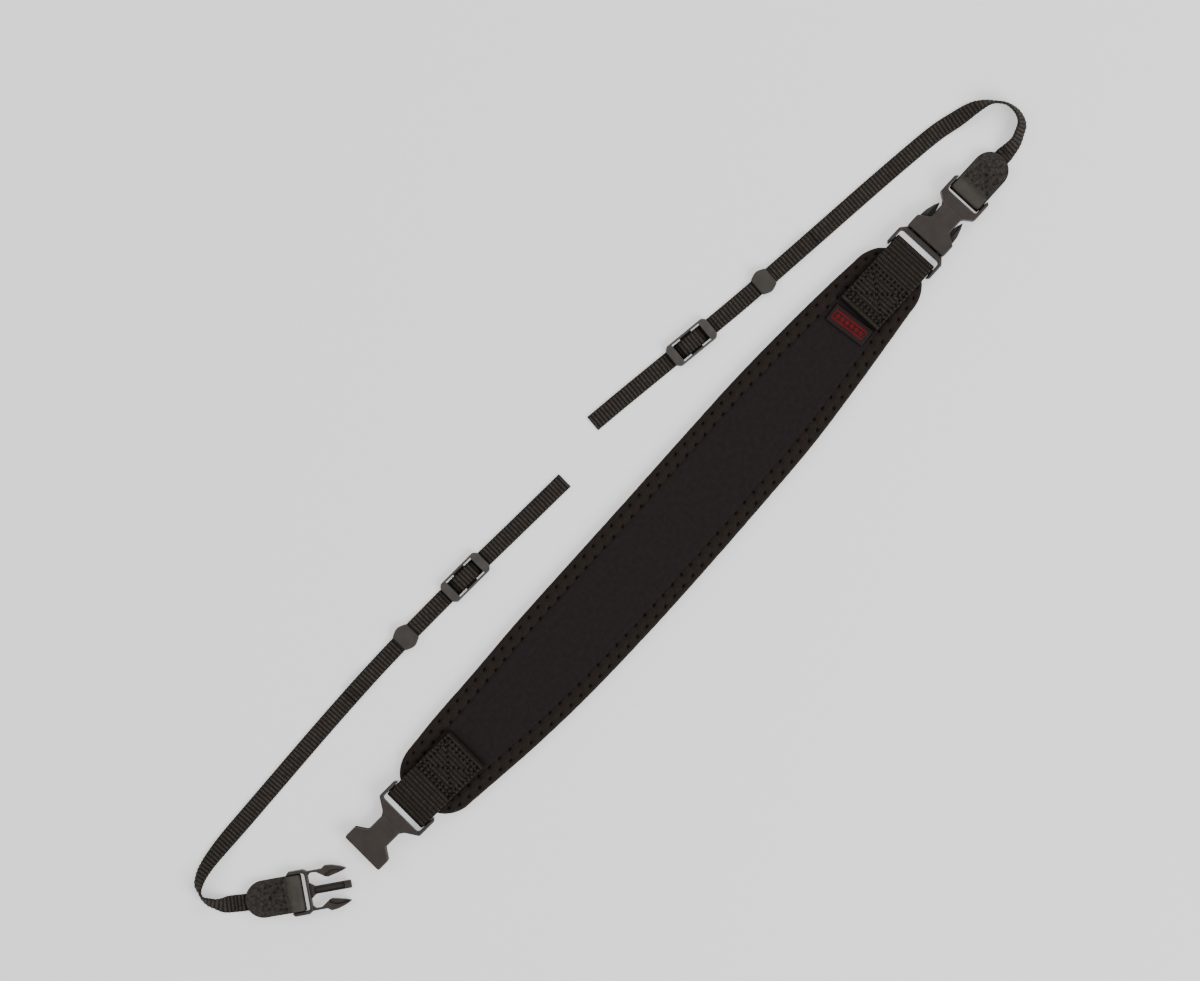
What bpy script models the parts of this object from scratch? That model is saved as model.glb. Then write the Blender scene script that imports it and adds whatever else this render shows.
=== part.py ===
"""Camera neck strap, laid flat: a shoulder pad, its buckles and two connector straps.

Metres, +Z up. +X runs along the pad towards its fastened buckle, and +Y is the side that the
connector straps lie on. While it is built, the axis of the webbing on the pad is y = 0 and the
middle of the pad is x = 0. At the end the strap is set down with the middle of its underside on
the origin.
"""

from collections import namedtuple
from math import atan2, cos, pi, radians, sin, sqrt

import bmesh
import bpy
from mathutils import Matrix, Vector

MM = 0.001

# Clearance between pieces that touch, and between two layers that are sewn together
GAP = 0.3 * MM
SEAM_GAP = 0.1 * MM

# Shoulder pad, and the folded tape round its rim
PAD_LENGTH = 392 * MM
PAD_LEFT_REACH = 25.3 * MM
PAD_RIGHT_REACH = 32.8 * MM
PAD_THICKNESS = 5.6 * MM
PAD_END_WIDTH = 13 * MM
BINDING_WIDTH = 7.5 * MM
BINDING_WALL = 1.0 * MM

# Label on the pad
LABEL_LENGTH = 24.3 * MM
LABEL_WIDTH = 10.3 * MM
LABEL_THICKNESS = 1.0 * MM
LABEL_TURN = radians(5.5)
LABEL_SPACE = 3.2 * MM

# Wide webbing, folded round a buckle's bar and sewn on the pad
WIDE_WEB_WIDTH = 26.4 * MM
WIDE_WEB_THICKNESS = 1.5 * MM
TAB_LENGTH = 38 * MM
TAB_TURN_RADIUS = 1.2 * MM
UPPER_TAB_REACH = 7.7 * MM
LOWER_TAB_REACH = 9.2 * MM
UPPER_TAB_SPACE = 0.3 * MM
LOWER_TAB_SPACE = 0.6 * MM
LOWER_TAB_TURN = radians(-2.6)
LOWER_TAB_OFFSET = 0.9 * MM

# Leather, folded round the connector buckle's bar
LEATHER_WIDTH = 20 * MM
LEATHER_THICKNESS = 1.2 * MM
LEATHER_LENGTH = 31.9 * MM
LEATHER_FLAT_FROM = 15 * MM

# Buckles: parts that fit each other in both pairs
BAR_HEIGHT = 3.0 * MM
MALE_FRAME_HEIGHT = 5.6 * MM
FEMALE_FRAME_HEIGHT = 7.9 * MM
FRAME_RAIL = 1.9 * MM
FRAME_CORNER = 1.4 * MM
SLOT_ROUND = 1.8 * MM
SOCKET_WIDTH = 25.7 * MM
SOCKET_HEIGHT = 8.5 * MM
SOCKET_WALL = 1.5 * MM
SOCKET_DEPTH = 22 * MM
SOCKET_SIDE = 7.0 * MM
WAIST_WIDTH = 13.4 * MM
GUIDE_WIDTH = 4.3 * MM
GUIDE_HEIGHT = 3.2 * MM
GUIDE_TIP = 3.6 * MM
RAIL_SPACE = 0.6 * MM
RAIL_WALL = 1.2 * MM
RAIL_START = 6.0 * MM
PRONG_HEIGHT = 4.5 * MM
PRONG_BACK = 1.1 * MM
PRONG_REACH = 20.3 * MM
PRONG_SPREAD = 12.3 * MM
PRONG_SQUEEZE = 0.95
PRONG_RECESS = 0.8 * MM
GUIDE_RIM = 0.55 * MM
GUIDE_RECESS = 0.9 * MM
EDGE_ROUND = 0.7 * MM

# Narrow webbing
NARROW_WEB_WIDTH = 9.5 * MM
NARROW_WEB_THICKNESS = 1.4 * MM
TACK_OVERLAP = 12 * MM
LEATHER_HOLD = 11 * MM

# Slide and keeper on the narrow webbing
SLIDE_LENGTH = 28 * MM
SLIDE_END_BAR = 4.7 * MM
SLIDE_MIDDLE_BAR = 7.6 * MM
SLIDE_RAIL = 1.2 * MM
SLIDE_SIDE_SPACE = 0.8 * MM
SLIDE_END_HEIGHT = 2.4 * MM
SLIDE_MIDDLE_HEIGHT = 1.6 * MM
KEEPER_LENGTH = 10.3 * MM
KEEPER_WALL = 1.6 * MM
KEEPER_FLOOR = 1.0 * MM
KEEPER_SIDE_SPACE = 0.4 * MM
KEEPER_SLOT = 2.4 * MM

# The connector straps where they turn back beside the pad, and where they run straight
UPPER_BEND_SIZE = 35.1 * MM
UPPER_RUN_LENGTH = 241.3 * MM
UPPER_RUN_DRIFT = 30.6 * MM
UPPER_SLIDE_AT = 69 * MM
UPPER_KEEPER_AT = 120 * MM
UPPER_TACK_AT = 155 * MM
LOWER_BEND_SIZE = 30 * MM
LOWER_RUN_LENGTH = 249 * MM
LOWER_RUN_DRIFT = 3.9 * MM
LOWER_SLIDE_AT = 75 * MM
LOWER_KEEPER_AT = 120.5 * MM
LOWER_TACK_AT = 164 * MM
# The unclipped buckle half, from the middle of the pad's other end
LOWER_MALE_BACK = 74.3 * MM
LOWER_MALE_ASIDE = 7.0 * MM
LOWER_MALE_TURN = radians(-37.2)

# Mesh fineness
SIDE_STEPS = 20
CORNER_STEPS = 6
FILLET_STEPS = 3
LOOP_STEPS = 7

# The pad's sides: shares of half its length, and of its reach to the left and to the right
PAD_SIDES = (
    # along, left, right
    (-0.905, 0.80, 0.73),
    (-0.80, 0.85, 0.805),
    (-0.65, 0.877, 0.902),
    (-0.45, 0.933, 0.976),
    (-0.20, 0.953, 1.00),
    (0.00, 0.965, 0.988),
    (0.20, 0.988, 0.960),
    (0.45, 1.00, 0.905),
    (0.65, 0.953, 0.793),
    (0.80, 0.889, 0.689),
    (0.905, 0.822, 0.613),
)

# A prong's outline: shares of its reach from the mouth and of the spread of its barb
PRONG = (
    # along, aside, rounding
    (0.32, 0.878, 0.06),
    (0.42, 1.00, 0.08),
    (0.61, 0.967, 0.20),
    (0.84, 0.845, 0.20),
    (1.00, 0.715, 0.0),
    (0.84, 0.618, 0.15),
    (0.48, 0.480, 0.08),
    (0.41, 0.512, 0.10),
    (0.17, 0.789, 0.20),
)
# The sunken inner part of its barb, in the same shares
PRONG_POCKET = (
    # along, aside, rounding
    (0.40, 0.64, 0.0),
    (0.48, 0.70, 0.0),
    (0.60, 0.78, 0.0),
    (0.76, 0.77, 0.0),
    (0.92, 0.73, 0.0),
    (0.90, 0.50, 0.0),
    (0.40, 0.30, 0.0),
)

# The web from the leather round its bend: shares of the bend's size, and degrees on edge
UPPER_BEND = (
    # along, aside, roll
    (0.109, -0.006, 22),
    (0.300, 0.003, 47),
    (0.443, 0.057, 54),
    (0.554, 0.111, 61),
    (0.624, 0.200, 71),
    (0.659, 0.336, 79),
    (0.639, 0.496, 87),
    (0.571, 0.610, 80),
    (0.480, 0.709, 68),
    (0.377, 0.775, 56),
    (0.224, 0.840, 35),
    (-0.044, 0.909, 12),
    (-0.403, 1.000, 0),
)
LOWER_BEND = (
    # along, aside, roll
    (-0.213, 0.180, 5),
    (-0.310, 0.270, 25),
    (-0.380, 0.377, 50),
    (-0.437, 0.497, 66),
    (-0.462, 0.620, 82),
    (-0.430, 0.720, 83),
    (-0.350, 0.827, 66),
    (-0.240, 0.890, 52),
    (-0.113, 0.935, 43),
    (0.097, 0.975, 33),
    (0.373, 1.000, 22),
    (0.683, 1.015, 10),
    (1.167, 1.030, 0),
)
# The rest of its way to the cut end: shares of the run's length and of its drift
UPPER_RUN = (
    # along, aside
    (0.10, 0.11),
    (0.22, 0.22),
    (0.43, 0.40),
    (0.60, 0.555),
    (0.92, 0.915),
    (1.00, 1.00),
)
LOWER_RUN = (
    # along, aside
    (0.06, -0.13),
    (0.28, -0.56),
    (0.46, -0.64),
    (0.70, -0.10),
    (0.86, 0.49),
    (1.00, 1.00),
)

Connector = namedtuple(
    "Connector",
    "name lean back bend_size bend run_length run_drift run slide_at keeper_at tack_at",
)
UPPER = Connector(
    "upper", 1, -1, UPPER_BEND_SIZE, UPPER_BEND, UPPER_RUN_LENGTH, UPPER_RUN_DRIFT, UPPER_RUN,
    UPPER_SLIDE_AT, UPPER_KEEPER_AT, UPPER_TACK_AT,
)
LOWER = Connector(
    "lower", -1, 1, LOWER_BEND_SIZE, LOWER_BEND, LOWER_RUN_LENGTH, -LOWER_RUN_DRIFT, LOWER_RUN,
    LOWER_SLIDE_AT, LOWER_KEEPER_AT, LOWER_TACK_AT,
)

Frame = namedtuple("Frame", "face slot slot_width neck shoulder bar_from bar_to end")


# Worked out from the sizes above
WIDE_LOOP = BAR_HEIGHT / 2 + GAP + WIDE_WEB_THICKNESS / 2
LEATHER_LOOP = BAR_HEIGHT / 2 + GAP + LEATHER_THICKNESS / 2
FASTENED_Z = SOCKET_HEIGHT / 2
LOOSE_Z = LEATHER_LOOP + LEATHER_THICKNESS / 2 + SEAM_GAP
WIDE_SLOT = WIDE_WEB_WIDTH + 2 * GAP
LEATHER_SLOT = LEATHER_WIDTH + 2 * GAP
FRAME_NECK = WAIST_WIDTH - 2 * GAP
SANDWICH_Z = SEAM_GAP + LEATHER_THICKNESS + GAP + NARROW_WEB_THICKNESS / 2
KEEPER_Z = KEEPER_FLOOR + GAP + NARROW_WEB_THICKNESS / 2
SLIDE_Z = SLIDE_MIDDLE_HEIGHT + GAP + NARROW_WEB_THICKNESS / 2
TACK_Z = NARROW_WEB_THICKNESS * 1.5 + GAP

# Where things lie along a buckle, from the mouth of the socket half
WIDE_MALE = Frame(
    -0.45 * MM, -3.6 * MM, WIDE_SLOT, 24.9 * MM, -3.9 * MM, -8.6 * MM, -12.4 * MM, -14.6 * MM
)
LEATHER_MALE = Frame(
    -1.1 * MM, -2.8 * MM, LEATHER_SLOT, 21.6 * MM, -3.4 * MM, -6.2 * MM, -10.9 * MM, -12.6 * MM
)
WIDE_FEMALE = Frame(
    21.3 * MM, 29.2 * MM, WIDE_SLOT, FRAME_NECK, 28.7 * MM, 34.0 * MM, 38.9 * MM, 41.0 * MM
)
LEATHER_FEMALE = Frame(
    20.4 * MM, 28.7 * MM, LEATHER_SLOT, FRAME_NECK, 25.5 * MM, 31.7 * MM, 36.4 * MM, 38.1 * MM
)
# How far a leather loop stays open past the middle of its curl, to clear the bar
LEATHER_OPEN = LEATHER_MALE.bar_from - LEATHER_MALE.bar_to - BAR_HEIGHT / 2


def clear_scene():
    for thing in list(bpy.data.objects):
        bpy.data.objects.remove(thing, do_unlink=True)


def make_collection(name, helpers=False):
    collection = bpy.data.collections.new(name)
    bpy.context.scene.collection.children.link(collection)
    collection.hide_render = helpers
    return collection


def make_material(name, colour, roughness):
    material = bpy.data.materials.new(name)
    material.use_nodes = True
    shader = material.node_tree.nodes["Principled BSDF"]
    shader.inputs["Base Color"].default_value = (*colour, 1)
    shader.inputs["Roughness"].default_value = roughness
    shader.inputs["Metallic"].default_value = 0
    return material


def add_object(name, mesh, parent, material=None):
    """A part where a material is given, and otherwise a helper that a Boolean uses."""
    thing = bpy.data.objects.new(name, mesh)
    thing.parent = parent
    if material:
        mesh.materials.append(material)
        PARTS.objects.link(thing)
    else:
        thing.hide_render = True
        thing.display_type = "WIRE"
        CUTTERS.objects.link(thing)
    return thing


def seat(name, x, y, z, turn, parent):
    """An empty that places a piece or a group."""
    empty = bpy.data.objects.new(name, None)
    empty.empty_display_size = 5 * MM
    empty.location = (x, y, z)
    empty.rotation_euler = (0, 0, turn)
    empty.parent = parent
    PARTS.objects.link(empty)
    return empty


def add_bevel(thing, width, segments=1):
    bevel = thing.modifiers.new("Rounded edges", "BEVEL")
    bevel.width = width
    bevel.segments = segments
    bevel.limit_method = "ANGLE"
    bevel.angle_limit = radians(50)


def add_boolean(thing, helper, operation):
    boolean = thing.modifiers.new(helper.name, "BOOLEAN")
    boolean.operation = operation
    boolean.solver = "EXACT"
    boolean.object = helper


def shade_round(thing):
    thing.data.shade_smooth()
    thing.data.set_sharp_from_angle(angle=radians(35))


def between(rows, at):
    """The other columns of a table, read smoothly where its first column is at."""
    last = len(rows) - 1
    index = max(i for i in range(last) if rows[i][0] <= at or i == 0)
    start, end = rows[index], rows[index + 1]
    span = end[0] - start[0]
    share = (at - start[0]) / span

    def slope(i, column):
        low, high = max(i - 1, 0), min(i + 1, last)
        return (rows[high][column] - rows[low][column]) / (rows[high][0] - rows[low][0])

    values = []
    for column in range(1, len(start)):
        leave = slope(index, column) * span
        arrive = slope(index + 1, column) * span
        a, b = start[column], end[column]
        cubic = (2 * a - 2 * b + leave + arrive) * share**3
        square = (3 * b - 3 * a - 2 * leave - arrive) * share**2
        values.append(cubic + square + leave * share + a)
    return values


def smooth_step(at, start, end):
    share = min(max((at - start) / (end - start), 0), 1)
    return share * share * (3 - 2 * share)


def skin(name, rings, parent, material, closed=False):
    """One closed body through rings of points: capped at both ends, or closed on itself."""
    mesh = bmesh.new()
    rows = [[mesh.verts.new(point) for point in ring] for ring in rings]
    count = len(rows[0])
    pairs = list(zip(rows, rows[1:]))
    if closed:
        pairs.append((rows[-1], rows[0]))
    for here, there in pairs:
        for i in range(count):
            j = (i + 1) % count
            mesh.faces.new((here[i], here[j], there[j], there[i]))
    if not closed:
        mesh.faces.new(rows[0])
        mesh.faces.new(rows[-1])
    bmesh.ops.recalc_face_normals(mesh, faces=mesh.faces)
    data = bpy.data.meshes.new(name)
    mesh.to_mesh(data)
    mesh.free()
    thing = add_object(name, data, parent, material)
    shade_round(thing)
    return thing


def box(name, low, high, parent, material=None):
    mesh = bmesh.new()
    bmesh.ops.create_cube(mesh, size=1)
    size = Vector(high) - Vector(low)
    middle = (Vector(high) + Vector(low)) / 2
    bmesh.ops.transform(
        mesh, matrix=Matrix.Translation(middle) @ Matrix.Diagonal((*size, 1)), verts=mesh.verts
    )
    data = bpy.data.meshes.new(name)
    mesh.to_mesh(data)
    mesh.free()
    return add_object(name, data, parent, material)


def filleted(corners):
    """The points of an outline whose corners (x, y, radius) are rounded."""
    points = []
    for i, (x, y, radius) in enumerate(corners):
        corner = Vector((x, y))
        before = Vector(corners[i - 1][:2]) - corner
        after = Vector(corners[(i + 1) % len(corners)][:2]) - corner
        half = before.angle(after) / 2
        cut = min(radius / max(sin(half) / cos(half), 1e-6), before.length / 2.1, after.length / 2.1)
        if radius <= 0 or half > radians(88):
            points.append(corner)
            continue
        start, end = corner + before.normalized() * cut, corner + after.normalized() * cut
        for step in range(FILLET_STEPS + 1):
            share = step / FILLET_STEPS
            first = start.lerp(corner, share)
            second = corner.lerp(end, share)
            points.append(first.lerp(second, share))
    return points


def mirrored(half):
    """A whole outline from the corners of the half with y above 0."""
    return list(half) + [(x, -y, radius) for x, y, radius in reversed(half)]


def plate(name, corners, low, high, parent, material=None, rounding=0.0, segments=1):
    """A flat outline, from z low to z high."""
    curve = bpy.data.curves.new(name, "CURVE")
    curve.dimensions = "2D"
    curve.fill_mode = "BOTH"
    curve.extrude = (high - low) / 2
    points = filleted(corners)
    spline = curve.splines.new("POLY")
    spline.points.add(len(points) - 1)
    for target, point in zip(spline.points, points):
        target.co = (point.x, point.y, 0, 1)
    spline.use_cyclic_u = True
    guide = bpy.data.objects.new(name + "_outline", curve)
    PARTS.objects.link(guide)
    bpy.context.view_layer.update()
    graph = bpy.context.evaluated_depsgraph_get()
    data = bpy.data.meshes.new_from_object(guide.evaluated_get(graph))
    bpy.data.objects.remove(guide)
    mesh = bmesh.new()
    mesh.from_mesh(data)
    bmesh.ops.remove_doubles(mesh, verts=mesh.verts, dist=0.001 * MM)
    bmesh.ops.dissolve_limit(
        mesh, angle_limit=radians(0.5), verts=mesh.verts, edges=mesh.edges
    )
    bmesh.ops.translate(mesh, vec=(0, 0, (low + high) / 2), verts=mesh.verts)
    bmesh.ops.recalc_face_normals(mesh, faces=mesh.faces)
    mesh.to_mesh(data)
    mesh.free()
    thing = add_object(name, data, parent, material)
    if rounding:
        add_bevel(thing, rounding, segments)
    return thing


def section(width, thickness):
    """A web's cross-section, with its edges rounded off: (across, through)."""
    across, through = width / 2, thickness / 2
    half = ((across, 0), (across - 0.5 * through, through), (0.5 * through - across, through))
    return [*half, *((-a, -b) for a, b in half)]


def ribbon(name, stations, thickness, parent, material):
    """A band through stations of (centre, direction across, width)."""
    centres = [Vector(centre) for centre, _, _ in stations]
    rings = []
    for i, (_, across, width) in enumerate(stations):
        tangent = centres[min(i + 1, len(centres) - 1)] - centres[max(i - 1, 0)]
        across = Vector(across).normalized()
        normal = tangent.cross(across).normalized()
        rings.append(
            [centres[i] + across * a + normal * b for a, b in section(width, thickness)]
        )
    return skin(name, rings, parent, material)


def arc(centre_x, centre_z, radius, start, end, steps):
    """Points of an arc in the XZ plane, with its angles in degrees."""
    angles = [radians(start + (end - start) * i / steps) for i in range(steps + 1)]
    return [(centre_x + radius * cos(a), centre_z + radius * sin(a)) for a in angles]


def pad_outline(inset):
    """Points round the pad, moved in from its edge; each point keeps its place in the list."""
    half = PAD_LENGTH / 2
    first, last = PAD_SIDES[0][0], PAD_SIDES[-1][0]
    sides = [first + (last - first) * i / SIDE_STEPS for i in range(SIDE_STEPS + 1)]
    left = [(at * half, between(PAD_SIDES, at)[0] * PAD_LEFT_REACH) for at in sides]
    right = [(at * half, between(PAD_SIDES, at)[1] * PAD_RIGHT_REACH) for at in sides]

    def corner(start):
        """From the side to the middle of the end, both given as distances from the centre."""
        x, y = start
        flat = PAD_END_WIDTH / 2 * (y - inset) / y
        points = []
        for i in range(1, CORNER_STEPS + 1):
            angle = pi / 2 * i / CORNER_STEPS
            along = x + (half - inset - x) * sin(angle)
            points.append((along, flat + (y - inset - flat) * cos(angle)))
        return points

    lower = [(x, inset - y) for x, y in right]
    upper = [(x, y - inset) for x, y in left]
    east_right = [(x, -y) for x, y in corner(right[-1])]
    east_left = corner(left[-1])[::-1]
    west_left = [(-x, y) for x, y in corner((-left[0][0], left[0][1]))]
    west_right = [(-x, -y) for x, y in corner((-right[0][0], right[0][1]))][::-1]
    return lower + east_right + east_left + upper[::-1] + west_left + west_right


def pad(parent, material):
    low, high = BINDING_WALL + GAP, PAD_THICKNESS - BINDING_WALL - GAP
    side, soft = BINDING_WALL + GAP, 0.5 * MM
    half_profile = (
        # inset, height above or below the rim
        (BINDING_WIDTH + 3 * soft, low),
        (BINDING_WIDTH + GAP, 0),
        (side + soft, 0),
    )
    profile = [(inset, low - drop) for inset, drop in half_profile]
    profile += [(side, low + soft), (side, high - soft)]
    profile += [(inset, high + rise) for inset, rise in reversed(half_profile)]
    rings = [[(x, y, z) for x, y in pad_outline(inset)] for inset, z in profile]
    return skin("pad", rings, parent, material)


def pad_binding(parent, material):
    top, wall, edge = PAD_THICKNESS, BINDING_WALL, 0.35 * MM
    outer = ((BINDING_WIDTH, 0), (3 * edge, 0), (edge, edge), (0, 3 * edge))
    inner = ((wall, wall), (BINDING_WIDTH, wall))
    profile = list(outer) + [(inset, top - z) for inset, z in reversed(outer)]
    profile += [(inset, top - z) for inset, z in reversed(inner)] + list(inner)
    outlines = [pad_outline(inset) for inset, _ in profile]
    rings = [
        [(*outline[i], z) for outline, (_, z) in zip(outlines, profile)]
        for i in range(len(outlines[0]))
    ]
    return skin("pad_binding", rings, parent, material, closed=True)


def tab_web(name, reach, space, parent, material):
    """Webbing from its end on the pad, down round the bar and back; x = 0 is the pad's end."""
    thick, turn = WIDE_WEB_THICKNESS, TAB_TURN_RADIUS
    under = PAD_THICKNESS + GAP + thick / 2
    over = under + thick + SEAM_GAP
    bar_x = reach - WIDE_LOOP - thick / 2
    low = FASTENED_Z - WIDE_LOOP
    high = FASTENED_Z + WIDE_LOOP
    drop = space + thick / 2
    path = [(-TAB_LENGTH, under)]
    path += arc(drop - turn, under - turn, turn, 90, 0, 4)
    path += arc(drop + turn, low + turn, turn, 180, 270, 4)
    path += arc(bar_x, FASTENED_Z, WIDE_LOOP, -90, 90, LOOP_STEPS)
    for step in range(1, 6):
        share = step / 6
        path.append((bar_x * (1 - share), high + (over - high) * smooth_step(share, 0, 1)))
    path += [(-0.05 * bar_x, over), (-TAB_LENGTH, over)]
    stations = [((x, 0, z), (0, 1, 0), WIDE_WEB_WIDTH) for x, z in path]
    return ribbon(name, stations, thick, parent, material)


def leather_tab(name, bar_z, parent, material):
    """Leather round the bar at x = 0, its two layers closing on the web further out."""
    radius = LEATHER_WIDTH / 2
    length = LEATHER_LENGTH - LEATHER_LOOP - LEATHER_THICKNESS / 2
    closed = (NARROW_WEB_THICKNESS + LEATHER_THICKNESS) / 2 + GAP
    ends = [
        (length - radius + radius * sin(radians(angle)), 2 * radius * cos(radians(angle)))
        for angle in (0, 15, 30, 42, 54, 64, 73, 81)
    ]
    taper = LEATHER_FLAT_FROM - LEATHER_OPEN
    steps = [LEATHER_OPEN + taper * i / 4 for i in range(5)]
    along = [(x, LEATHER_WIDTH) for x in steps] + ends

    def layer(side):
        stations = []
        for x, width in along:
            share = smooth_step(x, LEATHER_OPEN, LEATHER_FLAT_FROM)
            middle = bar_z + (SANDWICH_Z - bar_z) * share
            apart = LEATHER_LOOP + (closed - LEATHER_LOOP) * share
            stations.append(((x, 0, middle + side * apart), (0, 1, 0), width))
        return stations

    loop = [
        ((x, 0, z), (0, 1, 0), LEATHER_WIDTH)
        for x, z in arc(0, bar_z, LEATHER_LOOP, -90, -270, LOOP_STEPS)
    ]
    return ribbon(name, layer(-1)[::-1] + loop + layer(1), LEATHER_THICKNESS, parent, material)


def web_frame(name, frame, height, parent, material=None):
    """The part of a buckle that webbing loops round, with its bar; z = 0 is its middle."""
    side = 1 if frame.face > 0 else -1
    inner = frame.slot_width / 2
    outer = inner + FRAME_RAIL
    neck = frame.neck / 2
    start = [(frame.face, neck, 0.0)]
    if side > 0:
        # A socket half flares from its waist
        bend = frame.face + 0.4 * (frame.shoulder - frame.face)
        start.append((bend, neck + 0.22 * (outer - neck), 4 * MM))
    half = start + [
        (frame.shoulder, outer, 1.5 * MM),
        (frame.end, outer, 0.0),
        (frame.end, inner, 0.0),
        (frame.slot, inner, SLOT_ROUND),
    ]
    body = plate(name, mirrored(half), -height / 2, height / 2, parent, material, EDGE_ROUND, 2)
    low_x, high_x = sorted((frame.bar_from, frame.bar_to))
    reach = inner + FRAME_RAIL / 2
    bar = box(
        name + "_bar", (low_x, -reach, -BAR_HEIGHT / 2), (high_x, reach, BAR_HEIGHT / 2), parent
    )
    add_bevel(bar, 0.4 * BAR_HEIGHT, 3)
    add_boolean(body, bar, "UNION")
    past = 1 * MM
    for turn, label in ((1, "left"), (-1, "right")):
        corner = (
            (frame.end - side * (FRAME_CORNER + past), turn * (outer + past), 0.0),
            (frame.end + side * past, turn * (outer + past), 0.0),
            (frame.end + side * past, turn * (outer - FRAME_CORNER - past), 0.0),
        )
        cut = plate(f"{name}_{label}_corner", corner, -height, height, parent)
        add_boolean(body, cut, "DIFFERENCE")
    return body


def prong_points(table, frame, spread, side):
    """A prong's table as corners, for a frame and how far its barbs spread."""
    start = frame.face + PRONG_BACK
    return [(start + along * PRONG_REACH, side * aside * spread, rounding * spread)
            for along, aside, rounding in table]


def male_buckle(name, frame, spread, parent, material):
    body = web_frame(name, frame, MALE_FRAME_HEIGHT, parent, material)
    root = (frame.face + frame.slot) / 2
    pockets = []
    for side, label in ((1, "left"), (-1, "right")):
        corners = prong_points(PRONG, frame, spread, side)
        arm_out, arm_in = corners[0][1], corners[-1][1]
        foot = arm_in - side * 1.5 * MM
        corners = [(root, arm_out, 0.0), *corners]
        corners += [
            (frame.face + 1.5 * MM, arm_in, 1.2 * MM), (frame.face, foot, 0.0), (root, foot, 0.0)
        ]
        prong = plate(
            f"{name}_{label}_prong", corners, -PRONG_HEIGHT / 2, PRONG_HEIGHT / 2, parent,
            rounding=0.4 * MM,
        )
        add_boolean(body, prong, "UNION")
        floor = PRONG_HEIGHT / 2 - PRONG_RECESS
        pocket = prong_points(PRONG_POCKET, frame, spread, side)
        pockets.append((f"{name}_{label}_pocket", pocket, floor))
    tip = SOCKET_DEPTH - RAIL_SPACE
    shape = (
        (root, 0.95 * GUIDE_WIDTH, 0.0),
        (frame.face + 0.4 * MM, 0.95 * GUIDE_WIDTH, 0.8 * MM),
        (frame.face + 3 * MM, GUIDE_WIDTH / 2, 1.5 * MM),
        (tip, GUIDE_WIDTH / 2, 0.6 * MM),
    )
    middle = plate(
        name + "_guide", mirrored(shape), -GUIDE_HEIGHT / 2, GUIDE_HEIGHT / 2, parent,
        rounding=0.4 * MM,
    )
    add_boolean(body, middle, "UNION")
    inner = GUIDE_WIDTH / 2 - GUIDE_RIM
    shape = mirrored(((frame.face + 2.2 * MM, inner, 0.5 * MM), (tip - GUIDE_TIP, inner, 0.5 * MM)))
    pockets.append((name + "_guide_pocket", shape, GUIDE_HEIGHT / 2 - GUIDE_RECESS))
    for label, shape, floor in pockets:
        for low, high, face in ((floor, PRONG_HEIGHT, "top"), (-PRONG_HEIGHT, -floor, "bottom")):
            hollow = plate(f"{label}_{face}", shape, low, high, parent)
            add_boolean(body, hollow, "DIFFERENCE")
    shade_round(body)
    return body


def female_buckle(name, frame, parent, material):
    body = web_frame(name, frame, FEMALE_FRAME_HEIGHT, parent, material)
    mouth, waist = SOCKET_WIDTH / 2, WAIST_WIDTH / 2
    half = (
        (0.0, mouth, 1.2 * MM),
        (1.10 * SOCKET_SIDE, mouth, 1.5 * MM),
        (1.68 * SOCKET_SIDE, waist, 2.0 * MM),
        (frame.face + FRAME_RAIL, waist, 0.0),
    )
    shell = plate(
        name + "_shell", mirrored(half), -SOCKET_HEIGHT / 2, SOCKET_HEIGHT / 2, parent,
        rounding=EDGE_ROUND, segments=2,
    )
    add_boolean(body, shell, "UNION")
    inside = SOCKET_HEIGHT / 2 - SOCKET_WALL
    channel = GUIDE_WIDTH / 2 + RAIL_SPACE
    rail = channel + RAIL_WALL
    room, past = mouth - SOCKET_WALL, mouth + SOCKET_WALL
    lead, depth = RAIL_START, SOCKET_DEPTH
    spaces = (
        # name, from x, to x, from y, to y
        ("mouth", -SOCKET_WALL, lead, -room, room),
        ("channel", 0, depth, -channel, channel),
        ("left_space", 0, depth, rail, room),
        ("right_space", 0, depth, -room, -rail),
        ("left_window", SOCKET_SIDE, depth, rail, past),
        ("right_window", SOCKET_SIDE, depth, -past, -rail),
    )
    for label, x_low, x_high, y_low, y_high in spaces:
        space = box(
            f"{name}_{label}", (x_low, y_low, -inside), (x_high, y_high, inside), parent
        )
        add_boolean(body, space, "DIFFERENCE")
    shade_round(body)
    return body


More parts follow.
